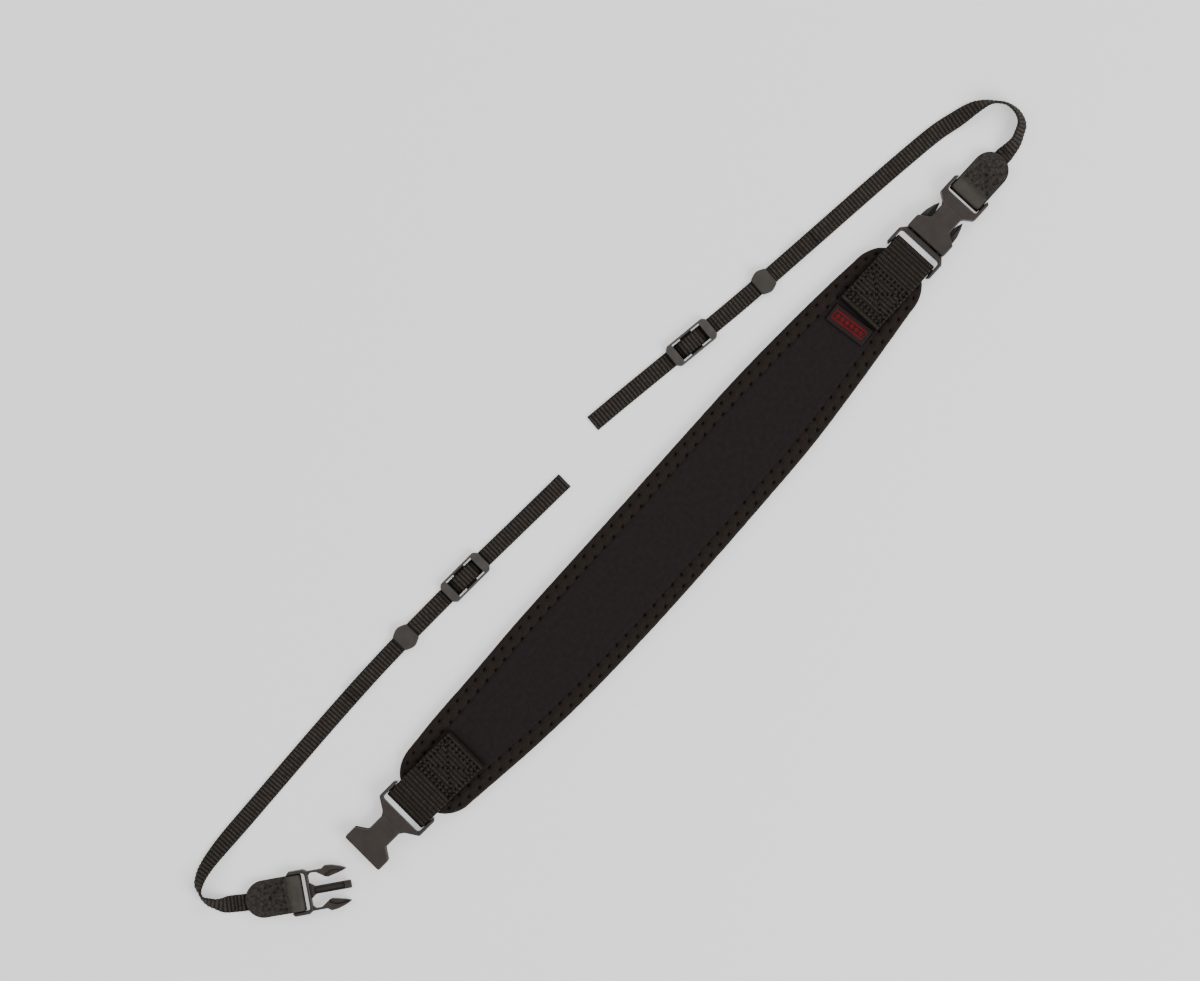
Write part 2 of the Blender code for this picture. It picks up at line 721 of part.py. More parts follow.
def slide(name, parent, material):
    """Three bars between two rails: the web runs under the outer two and over the middle one."""
    half = SLIDE_LENGTH / 2
    inner = NARROW_WEB_WIDTH / 2 + SLIDE_SIDE_SPACE
    outer = inner + SLIDE_RAIL
    bottom = NARROW_WEB_THICKNESS + GAP
    top = bottom + SLIDE_END_HEIGHT
    body = plate(
        name,
        mirrored(((-half, 0.72 * outer, 1.6 * MM), (-half + 2 * MM, outer, 1.6 * MM),
                  (half - 2 * MM, outer, 1.6 * MM), (half, 0.72 * outer, 1.6 * MM))),
        bottom, top, parent, material, 0.6 * MM,
    )
    window = box(
        name + "_window", (SLIDE_END_BAR - half, -inner, 0), (half - SLIDE_END_BAR, inner, 2 * top),
        parent,
    )
    add_boolean(body, window, "DIFFERENCE")
    rail_end = half - SLIDE_END_BAR / 2
    for side, label in ((1, "left"), (-1, "right")):
        low, high = sorted((side * (inner + 0.05 * MM), side * (outer - 0.05 * MM)))
        rail = box(
            f"{name}_{label}_rail", (-rail_end, low, 0), (rail_end, high, bottom + 1 * MM), parent
        )
        add_boolean(body, rail, "UNION")
    reach = inner + SLIDE_RAIL / 2
    middle = box(
        name + "_middle", (-SLIDE_MIDDLE_BAR / 2, -reach, 0.05 * MM),
        (SLIDE_MIDDLE_BAR / 2, reach, SLIDE_MIDDLE_HEIGHT), parent,
    )
    add_bevel(middle, 0.4 * MM)
    add_boolean(body, middle, "UNION")
    shade_round(body)
    return body


def keeper(name, parent, material):
    half = KEEPER_LENGTH / 2
    slot = NARROW_WEB_WIDTH / 2 + KEEPER_SIDE_SPACE
    outer = slot + KEEPER_WALL
    height = 2 * KEEPER_FLOOR + KEEPER_SLOT
    body = plate(
        name,
        mirrored(((-half, 0.74 * outer, 1.6 * MM), (0, 1.08 * outer, 5 * MM),
                  (half, 0.74 * outer, 1.6 * MM))),
        0, height, parent, material, 0.6 * MM,
    )
    opening = box(
        name + "_opening", (-2 * half, -slot, KEEPER_FLOOR),
        (2 * half, slot, KEEPER_FLOOR + KEEPER_SLOT), parent,
    )
    add_boolean(body, opening, "DIFFERENCE")
    shade_round(body)
    return body


def connector_path(connector, end, direction):
    """The web's centreline, as rows of (distance from its cut end, x, y, degrees on edge)."""
    inside = end - direction * LEATHER_HOLD
    size = connector.bend_size
    points = [(inside.x, inside.y, 0), (end.x, end.y, 0)]
    points += [(end.x + x * size, end.y + y * size, roll) for x, y, roll in connector.bend]
    bend_x, bend_y, _ = points[-1]
    for along, aside in connector.run:
        x = bend_x + connector.back * along * connector.run_length
        points.append((x, bend_y + aside * connector.run_drift, 0))
    points.reverse()
    rows = [(0.0, *points[0])]
    for before, after in zip(points, points[1:]):
        step = sqrt((after[0] - before[0]) ** 2 + (after[1] - before[1]) ** 2)
        rows.append((rows[-1][0] + step, *after))
    return rows


def web_height(connector, rows, at, on_top):
    """How high the web's centre lies: on the floor, or on what it passes over."""
    _, _, roll = between(rows, at)
    edge = abs(sin(radians(roll)))
    flat = cos(radians(roll))
    height = NARROW_WEB_WIDTH / 2 * edge + NARROW_WEB_THICKNESS / 2 * flat
    floor = NARROW_WEB_THICKNESS / 2
    off = abs(at - connector.slide_at)
    landing = SLIDE_LENGTH / 2 - SLIDE_END_BAR - GAP
    height += (SLIDE_Z - floor) * (1 - smooth_step(off, SLIDE_MIDDLE_BAR / 2 + GAP, landing))
    off = abs(at - connector.keeper_at)
    landing = 1.6 * KEEPER_LENGTH
    height += (KEEPER_Z - floor) * (1 - smooth_step(off, KEEPER_LENGTH / 2 + GAP, landing))
    if on_top:
        overlap = connector.tack_at - TACK_OVERLAP
        height += (TACK_Z - floor) * smooth_step(at, overlap - KEEPER_LENGTH, overlap - GAP)
    leather = rows[-1][0] - LEATHER_HOLD
    return max(height, SANDWICH_Z * smooth_step(at, leather - KEEPER_LENGTH, leather))


def narrow_web(name, connector, rows, start, end, on_top, parent, material):
    """The stretch of the connector's web between two distances from its cut end."""
    coarse, fine = 9 * MM, 2.3 * MM
    slide_zone = (connector.slide_at - SLIDE_LENGTH / 2, connector.slide_at + SLIDE_LENGTH / 2)
    keeper_zone = (connector.keeper_at - 2 * KEEPER_LENGTH, connector.keeper_at + 2 * KEEPER_LENGTH)
    tack_zone = (connector.tack_at - TACK_OVERLAP - 1.2 * KEEPER_LENGTH, connector.tack_at)
    bend_zone = (rows[len(connector.run)][0] - coarse, rows[-1][0] - LEATHER_HOLD + fine)
    places = [start]
    while places[-1] < end - 1e-6:
        here = places[-1]
        zones = (slide_zone, keeper_zone, tack_zone, bend_zone)
        if not on_top:
            zones = (bend_zone,)
        busy = any(low - coarse < here < high for low, high in zones)
        places.append(min(here + (fine if busy else coarse), end))
    stations = []
    for at in places:
        x, y, roll = between(rows, at)
        behind = between(rows, max(at - 0.5 * MM, 0))
        ahead = between(rows, min(at + 0.5 * MM, rows[-1][0]))
        along = Vector((ahead[0] - behind[0], ahead[1] - behind[1], 0)).normalized()
        # The edge inside the bend is the one that lifts
        inner = Vector((0, 0, 1)).cross(along) * -connector.lean
        tilt = radians(roll)
        across = inner * cos(tilt) + Vector((0, 0, 1)) * sin(tilt)
        height = web_height(connector, rows, at, on_top)
        stations.append(((x, y, height), across, NARROW_WEB_WIDTH))
    return ribbon(name, stations, NARROW_WEB_THICKNESS, parent, material)


def connector_strap(connector, end, direction, root, materials):
    """Everything past the leather: two webs, the keeper and the slide."""
    rows = connector_path(connector, end, direction)
    name = connector.name
    web = materials["narrow_web"]
    narrow_web(f"{name}_lug_web", connector, rows, 0, connector.tack_at, True, root, web)
    start = connector.tack_at - TACK_OVERLAP
    narrow_web(f"{name}_link_web", connector, rows, start, rows[-1][0], False, root, web)
    fittings = (("slide", connector.slide_at, slide), ("keeper", connector.keeper_at, keeper))
    for label, at, make in fittings:
        x, y, _ = between(rows, at)
        behind, ahead = between(rows, at - 2 * MM), between(rows, at + 2 * MM)
        turn = atan2(ahead[1] - behind[1], ahead[0] - behind[0])
        place = seat(f"{name}_{label}_seat", x, y, 0, turn, root)
        make(f"{name}_{label}", place, materials[label])


def set_down(root):
    """Moves the strap so that the middle of its underside is on the origin."""
    bpy.context.view_layer.update()
    graph = bpy.context.evaluated_depsgraph_get()
    points = []
    for thing in PARTS.objects:
        if thing.type == "MESH":
            solid = thing.evaluated_get(graph)
            points += [solid.matrix_world @ vertex.co for vertex in solid.data.vertices]
    low = [min(point[k] for point in points) for k in range(3)]
    high = [max(point[k] for point in points) for k in range(3)]
    root.location = (-(low[0] + high[0]) / 2, -(low[1] + high[1]) / 2, -low[2])
    bpy.context.view_layer.update()


def main():
    materials = {
        "neoprene": make_material("neoprene", (0.018, 0.015, 0.015), 0.85),
        "binding": make_material("binding", (0.022, 0.020, 0.018), 0.8),
        "wide_web": make_material("wide_web", (0.028, 0.024, 0.021), 0.75),
        "narrow_web": make_material("narrow_web", (0.026, 0.021, 0.018), 0.7),
        "leather": make_material("leather", (0.033, 0.032, 0.030), 0.6),
        "acetal": make_material("acetal", (0.055, 0.050, 0.047), 0.5),
        "slide": make_material("slide_plastic", (0.070, 0.070, 0.067), 0.45),
        "keeper": make_material("keeper_rubber", (0.040, 0.038, 0.036), 0.6),
        "label": make_material("label", (0.03, 0.02, 0.02), 0.7),
    }
    root = seat("strap_origin", 0, 0, 0, 0, None)
    pad(root, materials["neoprene"])
    pad_binding(root, materials["binding"])

    upper_end = seat("upper_pad_end", PAD_LENGTH / 2, 0, 0, 0, root)
    lower_end = seat(
        "lower_pad_end", -PAD_LENGTH / 2, -LOWER_TAB_OFFSET, 0, pi + LOWER_TAB_TURN, root
    )
    tab_web("upper_tab_web", UPPER_TAB_REACH, UPPER_TAB_SPACE, upper_end, materials["wide_web"])
    tab_web("lower_tab_web", LOWER_TAB_REACH, LOWER_TAB_SPACE, lower_end, materials["wide_web"])

    label_x = PAD_LENGTH / 2 - TAB_LENGTH - LABEL_SPACE - LABEL_WIDTH / 2
    place = seat("label_seat", label_x, -GAP, PAD_THICKNESS + GAP, LABEL_TURN, root)
    half_width, half_length = LABEL_WIDTH / 2, LABEL_LENGTH / 2
    label = box(
        "label", (-half_width, -half_length, 0), (half_width, half_length, LABEL_THICKNESS),
        place, materials["label"],
    )
    add_bevel(label, 0.3 * MM)

    # The fastened pair: the bar of the prong half lies in the upper tab's loop
    bar_near = UPPER_TAB_REACH - WIDE_WEB_THICKNESS - GAP
    mouth = bar_near - WIDE_MALE.bar_from
    fastened = seat("fastened_mouth", mouth, 0, FASTENED_Z, 0, upper_end)
    # Its prongs are squeezed together in the socket
    squeezed = PRONG_SQUEEZE * PRONG_SPREAD
    male_buckle("upper_male_buckle", WIDE_MALE, squeezed, fastened, materials["acetal"])
    female_buckle("upper_female_buckle", LEATHER_FEMALE, fastened, materials["acetal"])

    # The open socket half on the pad's other end
    bar_near = LOWER_TAB_REACH - WIDE_WEB_THICKNESS - GAP
    mouth = bar_near + WIDE_FEMALE.bar_from
    socket = seat("open_mouth", mouth, 0, FASTENED_Z, pi, lower_end)
    female_buckle("lower_female_buckle", WIDE_FEMALE, socket, materials["acetal"])

    # The unclipped prong half
    loose = seat(
        "loose_mouth", -PAD_LENGTH / 2 - LOWER_MALE_BACK, LOWER_MALE_ASIDE, LOOSE_Z,
        LOWER_MALE_TURN, root,
    )
    male_buckle("lower_male_buckle", LEATHER_MALE, PRONG_SPREAD, loose, materials["acetal"])

    # Leather round each connector buckle's bar
    curl = BAR_HEIGHT / 2
    upper_bar = seat("upper_bar", LEATHER_FEMALE.bar_from + curl, 0, -FASTENED_Z, 0, fastened)
    lower_bar = seat("lower_bar", LEATHER_MALE.bar_from - curl, 0, -LOOSE_Z, pi, loose)
    leather_tab("upper_leather_tab", FASTENED_Z, upper_bar, materials["leather"])
    leather_tab("lower_leather_tab", LOOSE_Z, lower_bar, materials["leather"])

    bpy.context.view_layer.update()
    length = LEATHER_LENGTH - LEATHER_LOOP - LEATHER_THICKNESS / 2
    for connector, bar in ((UPPER, upper_bar), (LOWER, lower_bar)):
        end = (bar.matrix_world @ Vector((length, 0, 0))).to_2d()
        direction = (bar.matrix_world.to_3x3() @ Vector((1, 0, 0))).to_2d()
        connector_strap(connector, end, direction, root, materials)
    set_down(root)


clear_scene()
PARTS = make_collection("camera_neck_strap")
CUTTERS = make_collection("cutters", helpers=True)
main()
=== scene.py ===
"""Looks of a camera neck strap that lies flat: foam pad, webbing, leather and buckles.

Lengths are in metres and axes are the row's own. +X runs along the pad towards its fastened
buckle, and the connector straps lie on its +Y side. Shapes are worked out from the strap's own
axis, which is the middle of the webbing on the pad.
"""

from collections import namedtuple
from math import cos, pi, radians, sin

import bpy
import numpy as np
from bpy.props import FloatProperty, FloatVectorProperty, PointerProperty
from mathutils import Matrix, Vector, noise


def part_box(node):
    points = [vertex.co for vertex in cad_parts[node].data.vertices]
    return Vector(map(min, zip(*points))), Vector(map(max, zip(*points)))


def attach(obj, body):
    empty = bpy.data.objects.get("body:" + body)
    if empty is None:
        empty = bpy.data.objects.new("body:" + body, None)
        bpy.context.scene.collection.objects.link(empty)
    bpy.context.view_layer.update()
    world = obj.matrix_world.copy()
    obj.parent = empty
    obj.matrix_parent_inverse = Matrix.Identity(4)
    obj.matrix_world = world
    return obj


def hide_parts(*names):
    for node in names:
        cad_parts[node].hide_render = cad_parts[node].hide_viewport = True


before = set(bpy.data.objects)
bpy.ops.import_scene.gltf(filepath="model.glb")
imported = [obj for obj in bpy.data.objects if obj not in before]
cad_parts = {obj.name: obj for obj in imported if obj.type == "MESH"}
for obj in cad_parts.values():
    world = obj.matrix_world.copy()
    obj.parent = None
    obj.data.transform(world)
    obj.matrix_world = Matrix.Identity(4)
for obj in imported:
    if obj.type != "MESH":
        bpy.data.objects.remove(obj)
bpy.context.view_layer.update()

bl_info = {
    "name": "Camera Neck Strap",
    "version": (1, 0, 0),
    "blender": (4, 5, 0),
    "location": "3D View > Sidebar > Strap",
    "description": "Builds the visible pieces of a padded camera neck strap",
    "category": "Object",
}

MM = 0.001
BODY = "root"

# The strap's make, as the solids have it
PAD_LENGTH = 392 * MM
PAD_LEFT_REACH = 25.3 * MM
PAD_RIGHT_REACH = 32.8 * MM
PAD_THICKNESS = 5.6 * MM
PAD_END_WIDTH = 13 * MM
GAP = 0.3 * MM
SEAM_GAP = 0.1 * MM
WIDE_WEB_WIDTH = 26.4 * MM
WIDE_WEB_THICKNESS = 1.5 * MM
TAB_LENGTH = 39.3 * MM
TAB_TURN_RADIUS = 1.2 * MM
UPPER_TAB_REACH = 7.7 * MM
LOWER_TAB_REACH = 9.2 * MM
UPPER_TAB_SPACE = 0.3 * MM
LOWER_TAB_SPACE = 0.6 * MM
LOWER_TAB_TURN = radians(-2.6)
LOWER_TAB_OFFSET = 0.9 * MM
BAR_HEIGHT = 3.0 * MM
SOCKET_HEIGHT = 8.5 * MM
LEATHER_WIDTH = 20 * MM
LEATHER_THICKNESS = 1.2 * MM
LEATHER_LENGTH = 31.9 * MM
LEATHER_OPEN = 3.2 * MM
LEATHER_FLAT_FROM = 15 * MM
LEATHER_HOLD = 11 * MM
NARROW_WEB_WIDTH = 9.5 * MM
NARROW_WEB_THICKNESS = 1.4 * MM
TACK_OVERLAP = 12 * MM
LABEL_LENGTH = 24.3 * MM
LABEL_WIDTH = 10.3 * MM
LABEL_THICKNESS = 1.0 * MM
LABEL_TURN = radians(5.5)
SLIDE_LENGTH = 28 * MM
SLIDE_END_BAR = 4.7 * MM
SLIDE_MIDDLE_BAR = 7.6 * MM
SLIDE_MIDDLE_HEIGHT = 1.6 * MM
KEEPER_LENGTH = 10.3 * MM
KEEPER_FLOOR = 1.0 * MM
# From the middle of the pad's ends to the mouths of the two connectors' buckles
FASTENED_MOUTH = 14.5 * MM
UPPER_BAR_PAST_MOUTH = 33.2 * MM
LOWER_MALE_BACK = 74.3 * MM
LOWER_MALE_ASIDE = 7.0 * MM
LOWER_MALE_TURN = radians(-37.2)
LOWER_BAR_BEHIND_MOUTH = 7.7 * MM

PAD_SIDES = (
    # along, left, right
    (-0.905, 0.80, 0.73),
    (-0.80, 0.85, 0.805),
    (-0.65, 0.877, 0.902),
    (-0.45, 0.933, 0.976),
    (-0.20, 0.953, 1.00),
    (0.00, 0.965, 0.988),
    (0.20, 0.988, 0.960),
    (0.45, 1.00, 0.905),
    (0.65, 0.953, 0.793),
    (0.80, 0.889, 0.689),
    (0.905, 0.822, 0.613),
)
UPPER_BEND = (
    # along, aside, roll
    (0.109, -0.006, 22),
    (0.300, 0.003, 47),
    (0.443, 0.057, 54),
    (0.554, 0.111, 56),
    (0.624, 0.200, 63),
    (0.659, 0.336, 70),
    (0.639, 0.496, 79),
    (0.571, 0.610, 83),
    (0.480, 0.709, 74),
    (0.377, 0.775, 58),
    (0.224, 0.840, 35),
    (-0.044, 0.909, 12),
    (-0.403, 1.000, 0),
)
LOWER_BEND = (
    # along, aside, roll
    (-0.213, 0.180, 5),
    (-0.310, 0.270, 25),
    (-0.380, 0.377, 50),
    (-0.437, 0.497, 60),
    (-0.462, 0.620, 76),
    (-0.430, 0.720, 79),
    (-0.350, 0.827, 60),
    (-0.240, 0.890, 52),
    (-0.113, 0.935, 43),
    (0.097, 0.975, 33),
    (0.373, 1.000, 22),
    (0.683, 1.015, 10),
    (1.167, 1.030, 0),
)
UPPER_RUN = (
    # along, aside
    (0.10, 0.11),
    (0.22, 0.22),
    (0.43, 0.40),
    (0.60, 0.555),
    (0.92, 0.915),
    (1.00, 1.00),
)
LOWER_RUN = (
    # along, aside
    (0.06, -0.13),
    (0.28, -0.56),
    (0.46, -0.64),
    (0.70, -0.10),
    (0.86, 0.49),
    (1.00, 1.00),
)

Connector = namedtuple(
    "Connector",
    "name lean back bend_size bend run_length run_drift run slide_at keeper_at tack_at",
)
UPPER = Connector(
    "upper", 1, -1, 35.1 * MM, UPPER_BEND, 241.3 * MM, 30.6 * MM, UPPER_RUN,
    69 * MM, 120 * MM, 155 * MM,
)
LOWER = Connector(
    "lower", -1, 1, 30 * MM, LOWER_BEND, 249 * MM, -3.9 * MM, LOWER_RUN,
    75 * MM, 120.5 * MM, 164 * MM,
)

# The strap's axis in the row's frame
RIM_LOW, RIM_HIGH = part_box("pad_binding")
ORIGIN = Vector(((RIM_LOW.x + RIM_HIGH.x) / 2, RIM_HIGH.y - PAD_LEFT_REACH, 0))

WIDE_LOOP = BAR_HEIGHT / 2 + GAP + WIDE_WEB_THICKNESS / 2
LEATHER_LOOP = BAR_HEIGHT / 2 + GAP + LEATHER_THICKNESS / 2
FASTENED_Z = SOCKET_HEIGHT / 2
LOOSE_Z = LEATHER_LOOP + LEATHER_THICKNESS / 2 + SEAM_GAP
SANDWICH_Z = SEAM_GAP + LEATHER_THICKNESS + GAP + NARROW_WEB_THICKNESS / 2
KEEPER_Z = KEEPER_FLOOR + GAP + NARROW_WEB_THICKNESS / 2
SLIDE_Z = SLIDE_MIDDLE_HEIGHT + GAP + NARROW_WEB_THICKNESS / 2
TACK_Z = NARROW_WEB_THICKNESS * 1.5 + GAP


def linear(code):
    """An sRGB hex colour as linear red, green and blue."""
    parts = [int(code[i:i + 2], 16) / 255 for i in (1, 3, 5)]
    return tuple(c / 12.92 if c <= 0.04045 else ((c + 0.055) / 1.055) ** 2.4 for c in parts)


def size(name, description, default):
    """A length that a user may change."""
    return FloatProperty(name=name, description=description, default=default, unit="LENGTH")


def colour(name, description, code):
    """A colour that a user may change, given as a hex code."""
    return FloatVectorProperty(
        name=name, description=description, default=linear(code), subtype="COLOR", size=3,
        min=0, max=1,
    )


class PadLooks(bpy.types.PropertyGroup):
    """The pad, its tape and the zigzag that holds it"""

    binding_width: size("Binding width", "Width of the tape that shows on the pad", 8.9 * MM)
    stitch_pitch: size("Stitch pitch", "Distance between two holes of one row", 7.4 * MM)
    outer_row: size("Outer row", "From the rim to the outer row of holes", 3.2 * MM)
    inner_row: size("Inner row", "From the rim to the inner row of holes", 8.1 * MM)
    thread: size("Thread", "Thickness of the sewing thread", 0.5 * MM)
    neoprene: colour("Neoprene", "Knit face of the foam rubber", "#241d1e")
    binding: colour("Binding", "Woven tape round the rim", "#38302b")
    sewing: colour("Thread", "Sewing thread", "#2c2521")


class WebLooks(bpy.types.PropertyGroup):
    """The wide and the narrow webbing"""

    wide_rib: size("Wide web rib", "Distance between the ribs of the wide webbing", 2.3 * MM)
    wide_yarn: size("Wide web yarn", "Distance between the beads of one rib", 1.25 * MM)
    narrow_rib: size("Narrow web rib", "Distance between the narrow webbing's ribs", 2.08 * MM)
    wide: colour("Wide web", "Ribs of the wide webbing", "#413a34")
    narrow: colour("Narrow web", "Ribs of the narrow webbing", "#49433d")
    # Painted shade in the grooves between ribs
    groove: colour("Groove", "Between two ribs", "#0b0908")


class TrimLooks(bpy.types.PropertyGroup):
    """Leather, buckles, slides, keepers and label"""

    leather: colour("Leather", "Pebbled part of the leather tabs", "#393531")
    # Its paleness round the bar is partly a painted highlight
    polished_and_highlit: colour("Polished leather", "Smooth leather round the bar", "#494540")
    acetal: colour("Buckles", "Moulded plastic of the buckles", "#372f2b")
    nylon: colour("Slides", "Moulded plastic of the slides", "#494541")
    rubber: colour("Keepers", "Moulded rubber of the keepers", "#3d3833")
    label_ground: colour("Label", "Woven ground of the label", "#3a322f")
    label_yarn: colour("Label yarn", "Coloured yarn of the label", "#96252f")


class StageLooks(bpy.types.PropertyGroup):
    """The floor and the camera's view"""

    floor: colour("Floor", "Plain pale floor", "#f4f4f4")
    view_width: size("View width", "Width of what the camera sees on the floor", 648 * MM)


def smooth_step(at, start, end):
    """0 up to start, 1 from end on, and smooth between them."""
    share = np.clip((at - start) / (end - start), 0, 1)
    return share * share * (3 - 2 * share)


def bell(off, width):
    """1 where off is nothing, falling smoothly away past width."""
    return np.exp(-((off / width) ** 2))


def crowded(count, share):
    """Numbers from -1 to 1 that lie closer together near both ends."""
    even = np.linspace(-1, 1, count)
    return (1 - share) * even + share * np.sin(even * pi / 2)


def between(rows, at):
    """The other columns of a table, read smoothly where its first column is at."""
    last = len(rows) - 1
    index = max(i for i in range(last) if rows[i][0] <= at or i == 0)
    start, end = rows[index], rows[index + 1]
    span = end[0] - start[0]
    share = (at - start[0]) / span

    def slope(i, column):
        low, high = max(i - 1, 0), min(i + 1, last)
        return (rows[high][column] - rows[low][column]) / (rows[high][0] - rows[low][0])

    values = []
    for column in range(1, len(start)):
        leave = slope(index, column) * span
        arrive = slope(index + 1, column) * span
        a, b = start[column], end[column]
        cubic = (2 * a - 2 * b + leave + arrive) * share**3
        square = (3 * b - 3 * a - 2 * leave - arrive) * share**2
        values.append(cubic + square + leave * share + a)
    return values


def arc(centre_x, centre_z, radius, start, end, steps):
    """Points of an arc in the XZ plane, with its angles in degrees."""
    angles = [radians(start + (end - start) * i / steps) for i in range(steps + 1)]
    return [(centre_x + radius * cos(a), centre_z + radius * sin(a)) for a in angles]


def resampled(points, step):
    """Points evenly spaced along a polyline, with their distances from its start."""
    points = np.asarray(points, float)
    lengths = np.linalg.norm(np.diff(points, axis=0), axis=1)
    places = np.concatenate(([0], np.cumsum(lengths)))
    count = max(int(round(places[-1] / step)), 1)
    wanted = np.linspace(0, places[-1], count + 1)
    columns = [np.interp(wanted, places, points[:, k]) for k in range(points.shape[1])]
    return wanted, np.stack(columns, axis=1)


def seat(x, y, z, turn):
    """A place on the strap, given from its axis, in the row's frame."""
    return Matrix.Translation(ORIGIN + Vector((x, y, z))) @ Matrix.Rotation(turn, 4, "Z")


UPPER_END = seat(PAD_LENGTH / 2, 0, 0, 0)
LOWER_END = seat(-PAD_LENGTH / 2, -LOWER_TAB_OFFSET, 0, pi + LOWER_TAB_TURN)
UPPER_BAR = UPPER_END @ Matrix.Translation((FASTENED_MOUTH + UPPER_BAR_PAST_MOUTH, 0, 0))
LOWER_BAR = (
    seat(-PAD_LENGTH / 2 - LOWER_MALE_BACK, LOWER_MALE_ASIDE, 0, LOWER_MALE_TURN)
    @ Matrix.Translation((-LOWER_BAR_BEHIND_MOUTH, 0, 0))
    @ Matrix.Rotation(pi, 4, "Z")
)
ON_AXIS = seat(0, 0, 0, 0)
UP = Vector((0, 0, 1))


# Pieces


def linked(name, data):
    """A new object in the scene."""
    thing = bpy.data.objects.new(name, data)
    bpy.context.scene.collection.objects.link(thing)
    return thing


def add_piece(name, points, faces, material, place=None, uvs=None, smooth=True,
              painted_shade=None):
    """A mesh piece that rides on the strap; uvs holds one pair for each point, in metres.

    painted_shade is the painted shade at each point: 1 in a stitch hole or along a tab's cut end,
    and 0 away from them.
    """
    mesh = bpy.data.meshes.new(name)
    mesh.from_pydata([tuple(point) for point in points], [], faces)
    if uvs is not None:
        layer = mesh.uv_layers.new(name="along_across")
        index = np.zeros(len(mesh.loops), np.int32)
        mesh.loops.foreach_get("vertex_index", index)
        layer.data.foreach_set("uv", np.asarray(uvs, np.float32)[index].ravel())
    if painted_shade is not None:
        layer = mesh.attributes.new("painted_shade", "FLOAT", "POINT")
        layer.data.foreach_set("value", np.asarray(painted_shade, np.float32).ravel())
    if smooth:
        mesh.shade_smooth()
    mesh.materials.append(material)
    mesh.update()
    piece = linked(name, mesh)
    if place is not None:
        piece.matrix_world = place
    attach(piece, BODY)
    return piece


def tube_faces(rings, sides, closed=False, first=0):
    """Quads between rings of points, counted from first, and the two caps."""
    faces = []
    for i in range(rings if closed else rings - 1):
        here, there = first + i * sides, first + (i + 1) % rings * sides
        for j in range(sides):
            k = (j + 1) % sides
            faces.append((here + j, here + k, there + k, there + j))
    if not closed:
        last = first + (rings - 1) * sides
        faces.append(tuple(range(first, first + sides))[::-1])
        faces.append(tuple(range(last, last + sides)))
    return faces


def slab_faces(columns, rows):
    """Faces of a grid of points that lies over a second one, and is closed round its edge."""
    count = columns * rows
    faces = []
    for i in range(columns - 1):
        for j in range(rows - 1):
            a, b = i * rows + j, (i + 1) * rows + j
            faces.append((a, b, b + 1, a + 1))
            faces.append((count + a + 1, count + b + 1, count + b, count + a))
    loop = [i * rows for i in range(columns)]
    loop += [(columns - 1) * rows + j for j in range(1, rows)]
    loop += [i * rows + rows - 1 for i in range(columns - 2, -1, -1)]
    loop += range(rows - 2, 0, -1)
    for a, b in zip(loop, loop[1:] + loop[:1]):
        faces.append((b, a, count + a, count + b))
    return faces


def stations(points):
    """Centres and directions across for a band whose middle runs through (x, z) points."""
    x, z = points[:, 0], points[:, 1]
    return np.stack((x, 0 * x, z), axis=1), np.tile((0.0, 1.0, 0.0), (len(points), 1))


def band(name, distance, centres, across, half_width, thickness, relief, material, slot,
         place=None, columns=15, marks=None):
    """Webbing or leather through stations. relief(along, aside, side) lifts either face.

    marks(along, aside, side) is painted shade: 1 in a stitch hole or along a tab's cut end, and 0
    elsewhere.
    """
    centres, across = np.asarray(centres, float), np.asarray(across, float)
    normal = np.cross(np.gradient(centres, axis=0), across)
    normal /= np.linalg.norm(normal, axis=1)[:, None]
    half_width = np.broadcast_to(half_width, distance.shape)[:, None]
    share = crowded(columns, 0.45)
    along, aside = distance[:, None], half_width * np.concatenate((share, share[-2:0:-1]))
    side = np.concatenate((np.ones(columns), -np.ones(columns - 2)))
    edge = np.clip((np.abs(aside) - (half_width - thickness / 2)) / (thickness / 2), 0, 1)
    through = thickness / 2 * np.sqrt(1 - edge**2) + relief(along, aside, side) * (1 - edge**2)
    points = (
        centres[:, None, :]
        + across[:, None, :] * aside[:, :, None]
        + normal[:, None, :] * (through * side)[:, :, None]
    )
    uvs = np.stack((np.broadcast_to(along, aside.shape), aside), axis=2)
    return add_piece(
        name, points.reshape(-1, 3), tube_faces(*aside.shape), material, place,
        uvs.reshape(-1, 2), painted_shade=None if marks is None else marks(along, aside, side),
    )


def ribs(pitch, height):
    """Relief of rounded ribs that run across a web."""
    def relief(along, aside, side):
        wave = np.abs(np.sin(pi * along / pitch)) ** 0.8
        return height * (wave - 0.6) + 0 * aside
    return relief


def dimples(along, aside, holes, reach):
    """How far into a stitch hole these points are, given the holes as (along, aside)."""
    sink = np.zeros(np.broadcast(along, aside).shape)
    for hole_along, hole_aside in holes:
        off = (along - hole_along) ** 2 + (aside - hole_aside) ** 2
        sink += np.exp(-off / (2 * reach**2))
    return np.minimum(sink, 1.3)


def hole_shade(depth, gain=2.2):
    """How much painted shade a point takes, from 0 to 1, given how far into a stitch hole it is."""
    return np.clip(gain * depth - 0.3, 0, 1)


def stitch_line(start, end, pitch):
    """Holes from start to end, about a pitch apart."""
    start, end = np.asarray(start, float), np.asarray(end, float)
    count = max(int(round(np.linalg.norm(end - start) / pitch)), 1)
    return [tuple(start + (end - start) * i / count) for i in range(count + 1)]


def sewn(lines, height):
    """The stitches of these lines of holes, each a pair of ends on a surface at height(x)."""
    return [
        [(x, y, height(x)) for x, y in ends]
        for line in lines for ends in zip(line, line[1:])
    ]


